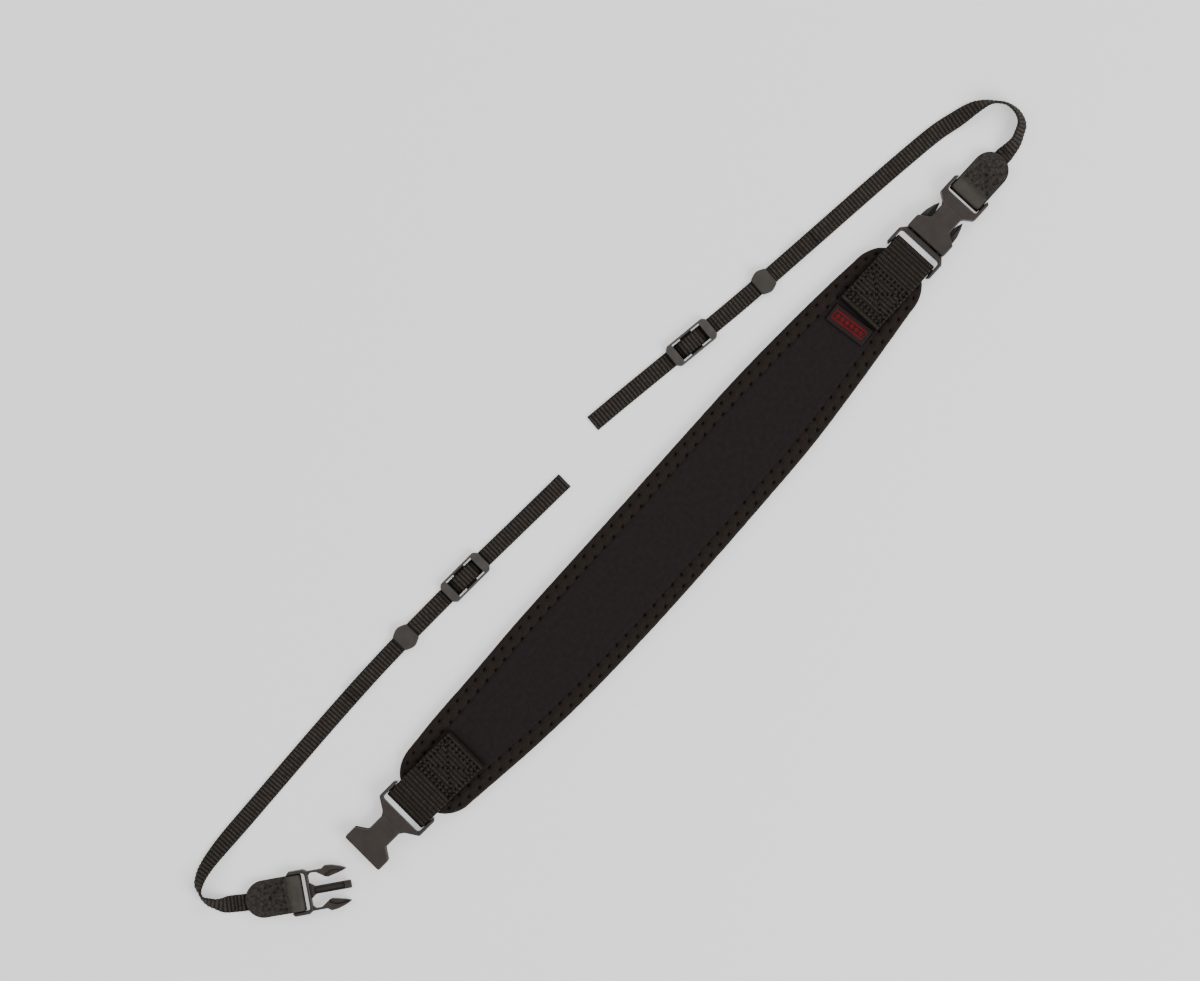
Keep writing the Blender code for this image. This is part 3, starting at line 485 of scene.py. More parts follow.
def thread_piece(name, stitches, radius, material, place=None, lift=1.0):
    """Runs of thread, each from hole to hole over the surface; one mesh.

    A run dives into its holes and arches between them, the more so the greater lift is.
    """
    points, faces, uvs = [], [], []
    rings, sides = 7, 6
    for start, end in stitches:
        start, run = Vector(start), Vector(end) - Vector(start)
        aside = run.normalized().cross(UP).normalized()
        faces += tube_faces(rings, sides, first=len(points))
        for i in range(rings):
            share = i / (rings - 1)
            arch = sin(pi * share) ** 0.6 * 1.6 - 0.9
            centre = start + run * share + UP * radius * arch * lift
            thick = radius * (0.75 + 0.25 * sin(pi * share))
            for j in range(sides):
                angle = 2 * pi * j / sides
                points.append(centre + aside * thick * cos(angle) + UP * thick * sin(angle))
                uvs.append((run.length * share, radius * angle))
    return add_piece(name, points, faces, material, place, uvs)


# Materials

# Painted shade in stitch holes and along the wide tabs' cut ends
HOLE_SHADE = (0.002, 0.0015, 0.001, 1)


def add_node(tree, kind, inputs=(), **settings):
    """A shader node with its settings, and its inputs by name or in order.

    An input takes a value, an output, or a node, which stands for its first output in use.
    """
    node = tree.nodes.new("ShaderNode" + kind)
    for name, value in settings.items():
        setattr(node, name, value)
    for name, value in inputs.items() if isinstance(inputs, dict) else enumerate(inputs):
        if isinstance(value, bpy.types.Node):
            value = next(output for output in value.outputs if output.enabled)
        if isinstance(value, bpy.types.NodeSocket):
            tree.links.new(value, node.inputs[name])
        else:
            node.inputs[name].default_value = value
    return node


def new_material(name):
    material = bpy.data.materials.new(name)
    material.use_nodes = True
    material.node_tree.nodes.clear()
    return material, material.node_tree


def shade(code, factor):
    """A colour made darker or lighter, with its alpha."""
    return (*(min(c * factor, 1) for c in code[:3]), 1)


def set_surface(tree, base, roughness, relief, crease=1.5, depth=1.0, **shader_inputs):
    """Ends a material. relief is its bump: a height, its strength and its rise in metres.

    Painted shade darkens the colour in stitch holes and cut ends, and in creases narrower than
    crease millimetres, where depth is the power that the painted shade is raised to.
    """
    # Painted shade in stitch holes and along cut ends
    shade_share = add_node(tree, "Attribute", attribute_name="painted_shade")
    holed = add_node(
        tree, "Mix", {"Factor": shade_share.outputs["Fac"], "A": base, "B": HOLE_SHADE},
        data_type="RGBA",
    )
    # Painted shade in creases and recesses, from ambient occlusion
    shelter = add_node(tree, "AmbientOcclusion", {"Distance": crease * MM}, samples=6)
    shadow = add_node(tree, "Math", (shelter.outputs["AO"], depth), operation="POWER")
    shaded = add_node(
        tree, "Mix", {"Factor": 1.0, "A": holed, "B": shadow}, data_type="RGBA",
        blend_type="MULTIPLY",
    )
    height, strength, rise = relief
    bump = add_node(tree, "Bump", {"Height": height, "Strength": strength, "Distance": rise})
    inputs = {"Base Color": shaded, "Roughness": roughness, "Normal": bump}
    inputs.update({name.replace("_", " "): value for name, value in shader_inputs.items()})
    shader = add_node(tree, "BsdfPrincipled", inputs)
    add_node(tree, "OutputMaterial", {"Surface": shader})


def mottled(tree, vector, code, spread, scale):
    """A colour that varies softly over the surface."""
    grain = add_node(tree, "TexNoise", {"Vector": vector, "Scale": scale, "Detail": 4.0})
    ramp = add_node(tree, "ValToRGB", {"Fac": grain})
    dark, light = ramp.color_ramp.elements
    dark.position, dark.color = 0.3, shade(code, 1 - spread)
    light.position, light.color = 0.7, shade(code, 1 + spread)
    return ramp


def in_millimetres(tree, source, swap=False):
    """The UV or Object vector in millimetres, with along and across swapped if asked."""
    place = add_node(tree, "TexCoord").outputs[source]
    scaled = add_node(tree, "Mapping", {"Vector": place, "Scale": (1000, 1000, 1000)})
    if not swap:
        return scaled
    parts = add_node(tree, "SeparateXYZ", {"Vector": scaled})
    return add_node(tree, "CombineXYZ", {"X": parts.outputs["Y"], "Y": parts.outputs["X"]})


def foam_face(code):
    """Neoprene: foam rubber with a knitted nylon face, which is matt and has a fine grain.

    The knit's loops are about 0.5 mm wide, and are drawn 0.9 mm wide so that they show.
    """
    material, tree = new_material("neoprene_knit_faced")
    vector = in_millimetres(tree, "Object")
    loops = add_node(tree, "TexVoronoi", {"Vector": vector, "Scale": 1.1})
    fuzz = add_node(tree, "TexNoise", {"Vector": vector, "Scale": 0.9, "Detail": 6.0})
    height = add_node(tree, "Math", (loops, fuzz), operation="ADD")
    set_surface(
        tree, mottled(tree, vector, code, 0.16, 0.35), 0.92, (height, 0.35, 0.15 * MM),
        Specular_IOR_Level=0.18, Sheen_Weight=0.08, Sheen_Roughness=0.4,
    )
    return material


def woven(name, rib_code, groove_shade_code, rib, yarn, beads=0.4, bridges=0.0, crease=3.0,
          depth=1.0):
    """Polyester webbing or tape: round ribs across it, beaded where the yarns cross them.

    bridges is how far the yarns close the grooves between two ribs, which leaves dots of painted
    shade. The grooves and the gaps between the beads are painted darker as painted shade.
    """
    material, tree = new_material(name)
    vector = in_millimetres(tree, "UV", swap=True)
    # The gaps between the beads take painted shade
    yarns = add_node(tree, "TexBrick", {
        "Vector": vector, "Color1": shade(rib_code, 1.2), "Color2": shade(rib_code, 0.8),
        "Mortar": shade(rib_code, 1 - beads), "Scale": 1.0, "Mortar Size": 0.46 * yarn / MM,
        "Mortar Smooth": 1.0, "Brick Width": yarn / MM, "Row Height": rib / MM,
    })
    parts = add_node(tree, "SeparateXYZ", {"Vector": vector})
    waves = []
    for way, pitch in (("Y", rib), ("X", yarn)):
        turn = add_node(
            tree, "Math", (parts.outputs[way], pi * MM / pitch), operation="MULTIPLY"
        )
        waves.append(add_node(tree, "Math", (turn,), operation="SINE"))
    round_rib = add_node(tree, "Math", (waves[0],), operation="ABSOLUTE")
    rung = add_node(tree, "Math", (waves[1], waves[1]), operation="MULTIPLY")
    bridge = add_node(tree, "Math", (rung, bridges), operation="MULTIPLY")
    swell = add_node(tree, "Math", (round_rib, bridge), operation="MAXIMUM")
    fuzz = add_node(
        tree, "TexNoise", {"Vector": in_millimetres(tree, "Object"), "Scale": 0.9, "Detail": 5.0}
    )
    worn = add_node(tree, "MapRange", {
        "Value": fuzz, "From Min": 0.3, "From Max": 0.7, "To Min": 0.55, "To Max": 1.2,
    })
    share = add_node(tree, "Math", (swell, worn), operation="MULTIPLY")
    # The grooves between the ribs take their painted shade
    base = add_node(
        tree, "Mix", {"Factor": share, "A": shade(groove_shade_code, 1), "B": yarns},
        data_type="RGBA",
    )
    height = add_node(tree, "Math", (yarns.outputs["Fac"], -1.0, share), operation="MULTIPLY_ADD")
    set_surface(
        tree, base, 0.82, (height, 0.5, 0.2 * MM), crease, depth, Specular_IOR_Level=0.1,
        Sheen_Weight=0.02, Sheen_Roughness=0.5,
    )
    return material


def sewing_thread(name, code):
    """Bonded nylon thread: twisted plies with a slight shine."""
    material, tree = new_material(name)
    vector = in_millimetres(tree, "UV")
    twist = add_node(
        tree, "TexWave", {"Vector": vector, "Scale": 0.5, "Distortion": 0.5},
        bands_direction="DIAGONAL",
    )
    set_surface(
        tree, mottled(tree, vector, code, 0.15, 0.5), 0.6, (twist.outputs["Fac"], 0.5, 0.1 * MM),
        Specular_IOR_Level=0.35,
    )
    return material


def grain_leather(code, polished_and_highlit):
    """Cowhide with an embossed pebble grain, worn smooth and painted paler as a painted highlight
    where it goes round a bar.
    """
    material, tree = new_material("leather_embossed_waxed")
    vector = in_millimetres(tree, "Object")
    parts = add_node(tree, "SeparateXYZ", {"Vector": vector})
    # Near the bar the grain is worn smooth, and the colour is painted paler there as a painted
    # highlight
    highlit = add_node(
        tree, "MapRange", {"Value": parts.outputs["X"], "From Min": 7.0, "From Max": 3.0}
    )
    pebbles = add_node(tree, "TexVoronoi", {"Vector": vector, "Scale": 0.8}, feature="F1")
    wrinkles = add_node(tree, "TexNoise", {"Vector": vector, "Scale": 0.5, "Detail": 6.0})
    height = add_node(tree, "Math", (pebbles, -0.5, wrinkles), operation="MULTIPLY_ADD")
    embossed = add_node(tree, "MapRange", {"Value": highlit, "To Min": 0.8, "To Max": 0.1})
    grain = add_node(tree, "ValToRGB", {"Fac": height})
    dark, light = grain.color_ramp.elements
    dark.position, dark.color = 0.0, shade(code, 0.5)
    light.position, light.color = 0.5, shade(code, 1.4)
    base = add_node(
        tree, "Mix",
        {"Factor": highlit, "A": grain, "B": mottled(tree, vector, polished_and_highlit, 0.12, 0.25)},
        data_type="RGBA",
    )
    # Painted shade in creases, deepest by the loop's edge beside the buckle's frame
    set_surface(
        tree, base, 0.6, (height, embossed, 0.4 * MM), 3.0, 2.5, Specular_IOR_Level=0.14
    )
    return material


def moulded(name, code, roughness, grain=0.9):
    """Injection-moulded plastic: spark-eroded texture, flow marks, and edges painted paler as a
    painted highlight.

    The texture's grains are about 0.1 mm wide, and are drawn 0.4 mm wide so that they show.
    """
    material, tree = new_material(name)
    vector = in_millimetres(tree, "Object")
    texture = add_node(tree, "TexNoise", {"Vector": vector, "Scale": 2.5, "Detail": 3.0})
    facing = add_node(tree, "NewGeometry")
    # Edges are painted paler as a painted highlight, where the rounded normal leaves the flat one
    rounded = add_node(tree, "Bevel", {"Radius": 0.5 * MM}, samples=6)
    flat = add_node(
        tree, "VectorMath", (rounded, facing.outputs["Normal"]), operation="DOT_PRODUCT"
    )
    highlit = add_node(
        tree, "MapRange", {"Value": flat, "From Min": 0.98, "From Max": 0.8, "To Max": 0.4}
    )
    base = add_node(
        tree, "Mix",
        {"Factor": highlit, "A": mottled(tree, vector, code, 0.16, 0.2), "B": shade(code, 1.8)},
        data_type="RGBA",
    )
    flow = add_node(tree, "TexNoise", {"Vector": vector, "Scale": 0.2, "Detail": 2.0})
    gloss = add_node(
        tree, "MapRange", {"Value": flow, "To Min": roughness - 0.06, "To Max": roughness + 0.08}
    )
    # Deep painted shade in recesses, such as the male buckle's guide, and where parts meet
    set_surface(
        tree, base, gloss, (texture, 0.12 * grain, 0.08 * MM), 4.0, 5.0, Specular_IOR_Level=0.45
    )
    return material


# The pad

# Steps of the tape's mesh, along the rim and round the tape
RIM_STEP = 0.55 * MM
TAPE_STEP = 0.45 * MM
# How far the foam reaches under the tape, past the inner row of holes
FOAM_LAP = 0.6 * MM
BINDING_PROFILE = (
    # inset as a share of the tape's width, height as a share of the pad's thickness
    (1.00, 0.03),
    (0.70, 0.00),
    (0.30, 0.00),
    (0.12, 0.03),
    (0.03, 0.14),
    (0.00, 0.30),
    (0.00, 0.62),
    (0.03, 0.80),
    (0.09, 0.92),
    (0.17, 0.975),
    (0.24, 0.985),
    (0.31, 0.98),
    (0.38, 0.995),
    (0.46, 1.01),
    (0.55, 1.02),
    (0.64, 1.02),
    (0.73, 1.005),
    (0.81, 0.985),
    (0.88, 0.97),
    (0.93, 0.955),
    (0.97, 0.94),
    (1.00, 0.91),
    (1.01, 0.84),
    (0.99, 0.74),
    (0.80, 0.62),
    (0.80, 0.30),
)
# The rows of the profile that lie on top of the pad, where the zigzag runs
BINDING_TOP = slice(8, 22)


def pad_reach(x, inset):
    """Distances from the strap's axis to the pad's left and right rim, moved in by inset."""
    half = PAD_LENGTH / 2
    first, last = PAD_SIDES[0][0] * half, PAD_SIDES[-1][0] * half
    at = min(max(x, first), last)
    left, right = between(PAD_SIDES, at / half)
    reaches = []
    for side in (left * PAD_LEFT_REACH, right * PAD_RIGHT_REACH):
        flat = PAD_END_WIDTH / 2 * (side - inset) / side
        over = abs(x - at) / (half - inset - abs(at))
        reaches.append(flat + (side - inset - flat) * (max(1 - over * over, 0)) ** 0.5)
    return reaches


def rim():
    """The pad's rim: distances, evenly spaced points, inward normals, and its whole length."""
    half = PAD_LENGTH / 2
    spread = crowded(1201, 1.0)
    reaches = np.array([pad_reach(share * half, 0) for share in spread])
    right = np.stack((spread * half, -reaches[:, 1]), axis=1)
    left = np.stack((spread * half, reaches[:, 0]), axis=1)[::-1]
    loop = np.concatenate((right, left, right[:1]))
    distance, points = resampled(loop, RIM_STEP)
    distance, points = distance[:-1], points[:-1]
    along = np.roll(points, -1, axis=0) - np.roll(points, 1, axis=0)
    along /= np.linalg.norm(along, axis=1)[:, None]
    inward = np.stack((-along[:, 1], along[:, 0]), axis=1)
    return distance, points, inward, distance[-1] + distance[1]


def zigzag_pitch(looks, length):
    """The pitch at which the zigzag closes round the rim, and how often it turns."""
    count = round(length / looks.stitch_pitch)
    return length / count, count


def binding_relief(distance, inset, looks, pitch):
    """The zigzag's mark on the tape's upper face: its lift, and the painted shade in its holes."""
    lift = np.zeros(np.broadcast(distance, inset).shape)
    painted_shade = np.zeros(lift.shape)
    for row, shift in ((looks.outer_row, 0.0), (looks.inner_row, 0.5)):
        off = ((distance / pitch - shift + 0.5) % 1 - 0.5) * pitch
        slant = off - 0.35 * (inset - row)
        hole = bell(slant, 1.0 * MM) * bell(inset - row, 0.7 * MM)
        pucker = bell(off, 1.7 * MM) * bell(inset - row, 1.3 * MM)
        lift -= 0.45 * MM * hole + 0.35 * MM * pucker
        painted_shade = np.maximum(painted_shade, hole_shade(hole))
    # The tape bellies up between the rows, now nearer one row and now the other
    middle = (looks.outer_row + looks.inner_row) / 2
    reach = looks.inner_row - middle
    swing = np.cos(2 * pi * distance / pitch) * (inset - middle) / reach
    lift += bell(inset - middle, 2.4 * MM) * (0.12 * MM + 0.28 * MM * swing)
    # Each slanting stitch presses a groove into it
    slope = np.abs((distance / pitch + 0.5) % 1 - 0.5) * 2
    off = (slope - (inset - looks.outer_row) / (2 * reach)) * pitch / 2
    lift -= 0.18 * MM * bell(off, 0.45 * MM) * bell(inset - middle, 1.6 * MM)
    return lift, painted_shade


def make_binding(looks, material):
    distance, points, inward, length = rim()
    pitch, _ = zigzag_pitch(looks, length)
    girth, profile = resampled(
        [(inset * looks.binding_width, share * PAD_THICKNESS) for inset, share in BINDING_PROFILE],
        TAPE_STEP,
    )
    inset, height = profile[:, 0], profile[:, 1]
    top = smooth_step(height, 0.8 * PAD_THICKNESS, 0.95 * PAD_THICKNESS)
    lift, painted_shade = binding_relief(distance[:, None], inset, looks, pitch)
    rough = np.array([
        [noise.noise(Vector((x * 260, y * 260, k * 0.5))) for k in range(len(profile))]
        for x, y in points
    ])
    z = height + top * (lift + 0.13 * MM * rough)
    spot = points[:, None, :] + inward[:, None, :] * (inset + 0.12 * MM * rough)[:, :, None]
    solid = np.concatenate((spot, z[:, :, None]), axis=2)
    uvs = np.stack(np.broadcast_arrays(distance[:, None], girth), axis=2)
    piece = add_piece(
        "rim_binding", solid.reshape(-1, 3), tube_faces(*z.shape, closed=True), material,
        ON_AXIS, uvs.reshape(-1, 2), painted_shade=painted_shade * top,
    )
    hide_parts("pad_binding")


def make_zigzag(looks, material):
    distance, points, inward, length = rim()
    pitch, count = zigzag_pitch(looks, length)
    profile = np.array(BINDING_PROFILE)[BINDING_TOP]

    def spot(at, inset):
        at %= length
        x, y, nx, ny = (
            np.interp(at, distance, values, period=length) for values in (*points.T, *inward.T)
        )
        z = np.interp(inset / looks.binding_width, *profile.T) * PAD_THICKNESS
        dip, _ = binding_relief(at, inset, looks, pitch)
        return Vector((x + nx * inset, y + ny * inset, z + float(dip)))

    stitches = []
    for k in range(count):
        outer = spot(k * pitch, looks.outer_row)
        inner = spot((k + 0.5) * pitch, looks.inner_row)
        again = spot((k + 1) * pitch, looks.outer_row)
        stitches += [(outer, inner), (inner, again)]
    thread_piece(
        "rim_zigzag", stitches, looks.thread / 2, material, ON_AXIS, lift=5.0
    )


def make_foam(looks, material):
    """The foam between the bindings: crowned, sinking under the tape at its rim."""
    distance, points, _, length = rim()
    pitch, _ = zigzag_pitch(looks, length)
    inset = looks.inner_row - FOAM_LAP
    columns, rows = 300, 57
    across = crowded(rows, 0.4)
    top, bottom, painted_shade = [], [], []
    for x in (PAD_LENGTH / 2 - inset) * crowded(columns, 0.2):
        left, right = pad_reach(x, inset)
        ys = (left + right) / 2 * across + (left - right) / 2
        gaps = np.hypot(points[:, 0] - x, points[:, 1] - ys[:, None])
        gap = gaps.min(axis=1)
        d = np.maximum(gap - inset, 0)
        sink = 0.06 * (1 - smooth_step(d, 1.0 * MM, 2.6 * MM))
        sink += 0.25 * (1 - smooth_step(d, 0.4 * MM, 1.0 * MM))
        swing = np.cos(2 * pi * (distance[gaps.argmin(axis=1)] / pitch - 0.5))
        pucker = 0.15 * swing * np.exp(-d / (2.2 * MM))
        hole = np.maximum(swing, 0) ** 8 * bell(gap - looks.inner_row, 0.9 * MM)
        wave = [0.12 * noise.noise(Vector((x * 28, y * 28, 0.3))) for y in ys]
        z = PAD_THICKNESS * (1 - sink) + MM * (wave - pucker - 0.6 * hole)
        top += zip([x] * rows, ys, z - 0.05 * MM)
        bottom += zip([x] * rows, ys, 0.2 * MM * (1 - smooth_step(d, 0, 1.6 * MM)))
        # Painted shade in the stitch holes
        painted_shade += list(hole_shade(hole))
    piece = add_piece(
        "foam_pad", top + bottom, slab_faces(columns, rows), material, ON_AXIS,
        painted_shade=painted_shade + [0.0] * len(bottom),
    )
    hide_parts("pad")


class STRAP_OT_pad(bpy.types.Operator):
    """Makes the foam pad, its rim binding and the zigzag that holds it"""

    bl_idname = "strap.pad"
    bl_label = "Pad and Binding"

    def execute(self, context):
        looks = context.scene.strap_pad
        make_foam(looks, foam_face(looks.neoprene))
        # The tape's ribs are about 0.5 mm apart, and are drawn 0.9 mm apart so that they show
        # Its grooves take a painted shade of the tape's colour
        tape = woven(
            "polyester_tape_woven", looks.binding, shade(looks.binding, 0.42), 0.9 * MM, 1.0 * MM,
            beads=0.5, crease=1.2,
        )
        make_binding(looks, tape)
        make_zigzag(looks, sewing_thread("nylon_thread_bonded", looks.sewing))
        return {"FINISHED"}


# Wide webbing

# The crossed box on each tab: from the web's end, from the pad's rim, and from the web's edges
BOX_BACK = 4 * MM
BOX_FRONT = 13.5 * MM
BOX_ASIDE = 2.2 * MM
# Between the two rows at its ends, and between two holes
BOX_ROWS = 2.3 * MM
BOX_PITCH = 2.9 * MM


def tab_path(reach, space):
    """The wide web's middle line, from its end on the pad round the bar and back."""
    thick, turn = WIDE_WEB_THICKNESS, TAB_TURN_RADIUS
    under = PAD_THICKNESS + GAP + thick / 2
    over = under + thick + SEAM_GAP
    bar_x = reach - WIDE_LOOP - thick / 2
    low = FASTENED_Z - WIDE_LOOP
    high = FASTENED_Z + WIDE_LOOP
    drop = space + thick / 2
    path = [(-TAB_LENGTH, under)]
    path += arc(drop - turn, under - turn, turn, 90, 0, 10)
    path += arc(drop + turn, low + turn, turn, 180, 270, 10)
    path += arc(bar_x, FASTENED_Z, WIDE_LOOP, -90, 90, 24)
    for step in range(1, 12):
        share = step / 12
        path.append((bar_x * (1 - share), high + (over - high) * smooth_step(share, 0, 1)))
    path += [(-0.05 * bar_x, over), (-TAB_LENGTH, over)]
    return path, over


def box_cross():
    """Stitch lines of a crossed box whose two ends are sewn twice, as lists of holes."""
    low, high, aside = BOX_BACK - TAB_LENGTH, -BOX_FRONT, WIDE_WEB_WIDTH / 2 - BOX_ASIDE
    inner_low, inner_high = low + BOX_ROWS, high - BOX_ROWS
    lines = [((x, -aside), (x, aside)) for x in (low, inner_low, inner_high, high)]
    lines += [((low, y), (high, y)) for y in (-aside, aside)]
    lines += [((inner_low, y), (inner_high, -y)) for y in (-aside, aside)]
    return [stitch_line(a, b, BOX_PITCH) for a, b in lines]


def make_tab(name, reach, space, place, looks, web, thread):
    path, over = tab_path(reach, space)
    distance, points = resampled(path, looks.wide_rib / 6)

    # Without a seed, this noise is another one in each run
    noise.seed_set(1)

    def shaken(x, y, k):
        shake = noise.noise_vector(Vector((k * 3.7, reach * 900, 0.5)))
        return x + 0.5 * MM * shake.x, y + 0.5 * MM * shake.y

    lines = [
        [shaken(x, y, 7 * i + j) for j, (x, y) in enumerate(line)]
        for i, line in enumerate(box_cross())
    ]
    holes = [hole for line in lines for hole in line]
    ribbed = ribs(looks.wide_rib, 0.26 * MM)
    x = points[:, :1]
    on_top = points[:, 1:] > over - 0.2 * MM

    def relief(along, aside, side):
        sink = 0.5 * MM * dimples(x, aside, holes, 0.6 * MM)
        row = np.floor(along / looks.wide_rib)
        yarn = 0.06 * MM * np.cos(2 * pi * (aside / looks.wide_yarn + 0.5 * (row + 1)))
        return ribbed(along, aside, side) + yarn - np.where(on_top & (side < 0), sink, 0)

    # Painted shade in the stitch holes, and a painted shadow along the web's cut end on the pad
    def marks(along, aside, side):
        dark = hole_shade(dimples(x, aside, holes, 0.5 * MM), 2.0)
        end_shade = np.clip(1.6 - (x + TAB_LENGTH) / (0.6 * MM), 0, 1)
        return np.where(on_top & (side < 0), np.maximum(dark, end_shade), 0)

    piece = band(
        f"{name}_wide_tab", distance, *stations(points), WIDE_WEB_WIDTH / 2, WIDE_WEB_THICKNESS,
        relief, web, "wide_web", place, columns=85, marks=marks,
    )
    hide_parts(f"{name}_tab_web")
    stitches = sewn(lines, lambda x: over + WIDE_WEB_THICKNESS / 2 - 0.55 * MM)
    thread_piece(
        f"{name}_wide_tab_box_stitch", stitches, 0.2 * MM, thread, place, lift=3.0
    )


class STRAP_OT_wide_tabs(bpy.types.Operator):
    """Makes the wide webbing tabs at both ends of the pad, with their boxed crosses"""

    bl_idname = "strap.wide_tabs"
    bl_label = "Wide Webbing Tabs"

    def execute(self, context):
        looks = context.scene.strap_web
        web = woven(
            "polyester_web_wide", looks.wide, looks.groove, looks.wide_rib, looks.wide_yarn,
            beads=0.5, bridges=0.75, depth=1.5,
        )
        thread = sewing_thread("nylon_thread_tabs", shade(looks.wide, 0.8))
        make_tab("upper", UPPER_TAB_REACH, UPPER_TAB_SPACE, UPPER_END, looks, web, thread)
        make_tab("lower", LOWER_TAB_REACH, LOWER_TAB_SPACE, LOWER_END, looks, web, thread)
        return {"FINISHED"}


# Leather tabs

# From the middle of the buckle's bar to the tab's round end
LEATHER_REACH = LEATHER_LENGTH - LEATHER_LOOP - LEATHER_THICKNESS / 2
LEATHER_PITCH = 3.5 * MM


def leather_seam(radius):
    """The seam's lines of holes: six sides that narrow to the tab's end, and a cross."""
    near, far, aside = 8.0 * MM, LEATHER_REACH - 5.2 * MM, radius - 2.6 * MM
    narrow = radius - 7.6 * MM
    corners = [(near, -aside), (far - 3 * MM, 2 * MM - aside), (far, -narrow), (far, narrow),
               (far - 3 * MM, aside - 2 * MM), (near, aside)]
    sides = [*zip(corners, corners[1:] + corners[:1])]
    sides += [(corners[0], corners[4]), (corners[5], corners[1])]
    return [stitch_line(a, b, LEATHER_PITCH) for a, b in sides]


def make_leather(name, bar_z, place, material, thread):
    radius = LEATHER_WIDTH / 2
    closed = (NARROW_WEB_THICKNESS + LEATHER_THICKNESS) / 2 + GAP
    turns = np.radians(np.concatenate((np.arange(0, 80, 5), np.arange(80, 89.9, 1.6))))
    straight = np.arange(0.4 * MM, LEATHER_REACH - radius, 0.4 * MM)
    xs = np.concatenate((straight, LEATHER_REACH - radius + radius * np.sin(turns)))
    halves = np.concatenate((np.full(len(straight), radius), radius * np.cos(turns)))

    def height(x, side=1):
        share = smooth_step(x, LEATHER_OPEN, LEATHER_FLAT_FROM)
        middle = bar_z + (SANDWICH_Z - bar_z) * share
        return middle + side * (LEATHER_LOOP + (closed - LEATHER_LOOP) * share)

    under = [*zip(xs, height(xs, -1), halves)][::-1]
    loop = [(x, z, radius) for x, z in arc(0, bar_z, LEATHER_LOOP, -90, -270, 24)]
    rows = np.array([*under, *loop, *zip(xs, height(xs), halves)])
    distance = np.concatenate(([0], np.cumsum(np.hypot(*np.diff(rows[:, :2], axis=0).T))))
    lines = leather_seam(radius)
    holes = sorted({(round(x, 6), round(y, 6)) for line in lines for x, y in line})
    x = rows[:, :1]
    on_top = np.arange(len(rows))[:, None] >= len(under) + len(loop)

    def relief(along, aside, side):
        sink = 0.5 * MM * dimples(x, aside, holes, 0.6 * MM)
        soft = 0.16 * MM * np.cos(along / (1.3 * MM)) * np.cos(aside / (1.1 * MM))
        pressed = 0.4 * MM * smooth_step(x, 5.0 * MM, 6.4 * MM)
        return np.where(on_top & (side > 0), soft * (x > 6 * MM) - sink - pressed, 0)

    # Painted shade in the stitch holes
    def marks(along, aside, side):
        dark = hole_shade(dimples(x, aside, holes, 0.42 * MM), 1.1)
        return np.where(on_top & (side > 0), dark, 0)

    piece = band(
        f"{name}_leather", distance, *stations(rows), rows[:, 2], LEATHER_THICKNESS, relief,
        material, "leather", place, columns=61, marks=marks,
    )
    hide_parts(f"{name}_leather_tab")
    stitches = sewn(lines, lambda x: height(x) + LEATHER_THICKNESS / 2 - 0.9 * MM)
    thread_piece(f"{name}_leather_stitch", stitches, 0.2 * MM, thread, place, lift=3.0)


class STRAP_OT_leather_tabs(bpy.types.Operator):
    """Makes the folded leather tabs that join the narrow webs to the buckles"""

    bl_idname = "strap.leather_tabs"
    bl_label = "Leather Tabs"

    def execute(self, context):
        looks = context.scene.strap_trim
        material = grain_leather(looks.leather, looks.polished_and_highlit)
        thread = sewing_thread("nylon_thread_leather", looks.leather)
        make_leather("upper", FASTENED_Z, UPPER_BAR, material, thread)
        make_leather("lower", LOOSE_Z, LOWER_BAR, material, thread)
        return {"FINISHED"}


# Narrow webbing

# How far the two bar tacks are from the lug web's end, and what a tack's zigzag has
TACK_ROWS = (3 * MM, 8.5 * MM)
TACK_STEPS = 15
TACK_SWING = 0.55 * MM


def connector_path(connector, place):
    """The narrow web's middle line: (distance from its cut end, x, y, degrees on edge)."""
    end = place @ Vector((LEATHER_REACH, 0, 0))
    inside = place @ Vector((LEATHER_REACH - LEATHER_HOLD, 0, 0))
    reach = connector.bend_size
    points = [(inside.x, inside.y, 0), (end.x, end.y, 0)]
    points += [(end.x + x * reach, end.y + y * reach, roll) for x, y, roll in connector.bend]
    bend_x, bend_y, _ = points[-1]
    for along, aside in connector.run:
        x = bend_x + connector.back * along * connector.run_length
        points.append((x, bend_y + aside * connector.run_drift, 0))
    points.reverse()
    rows = [(0.0, *points[0])]
    for before, after in zip(points, points[1:]):
        step = ((after[0] - before[0]) ** 2 + (after[1] - before[1]) ** 2) ** 0.5
        rows.append((rows[-1][0] + step, *after))
    return rows


def heading(rows, at):
    """The web's direction on the floor at this distance from its cut end."""
    behind = between(rows, max(at - 0.5 * MM, 0))
    ahead = between(rows, min(at + 0.5 * MM, rows[-1][0]))
    return Vector((ahead[0] - behind[0], ahead[1] - behind[1], 0)).normalized()


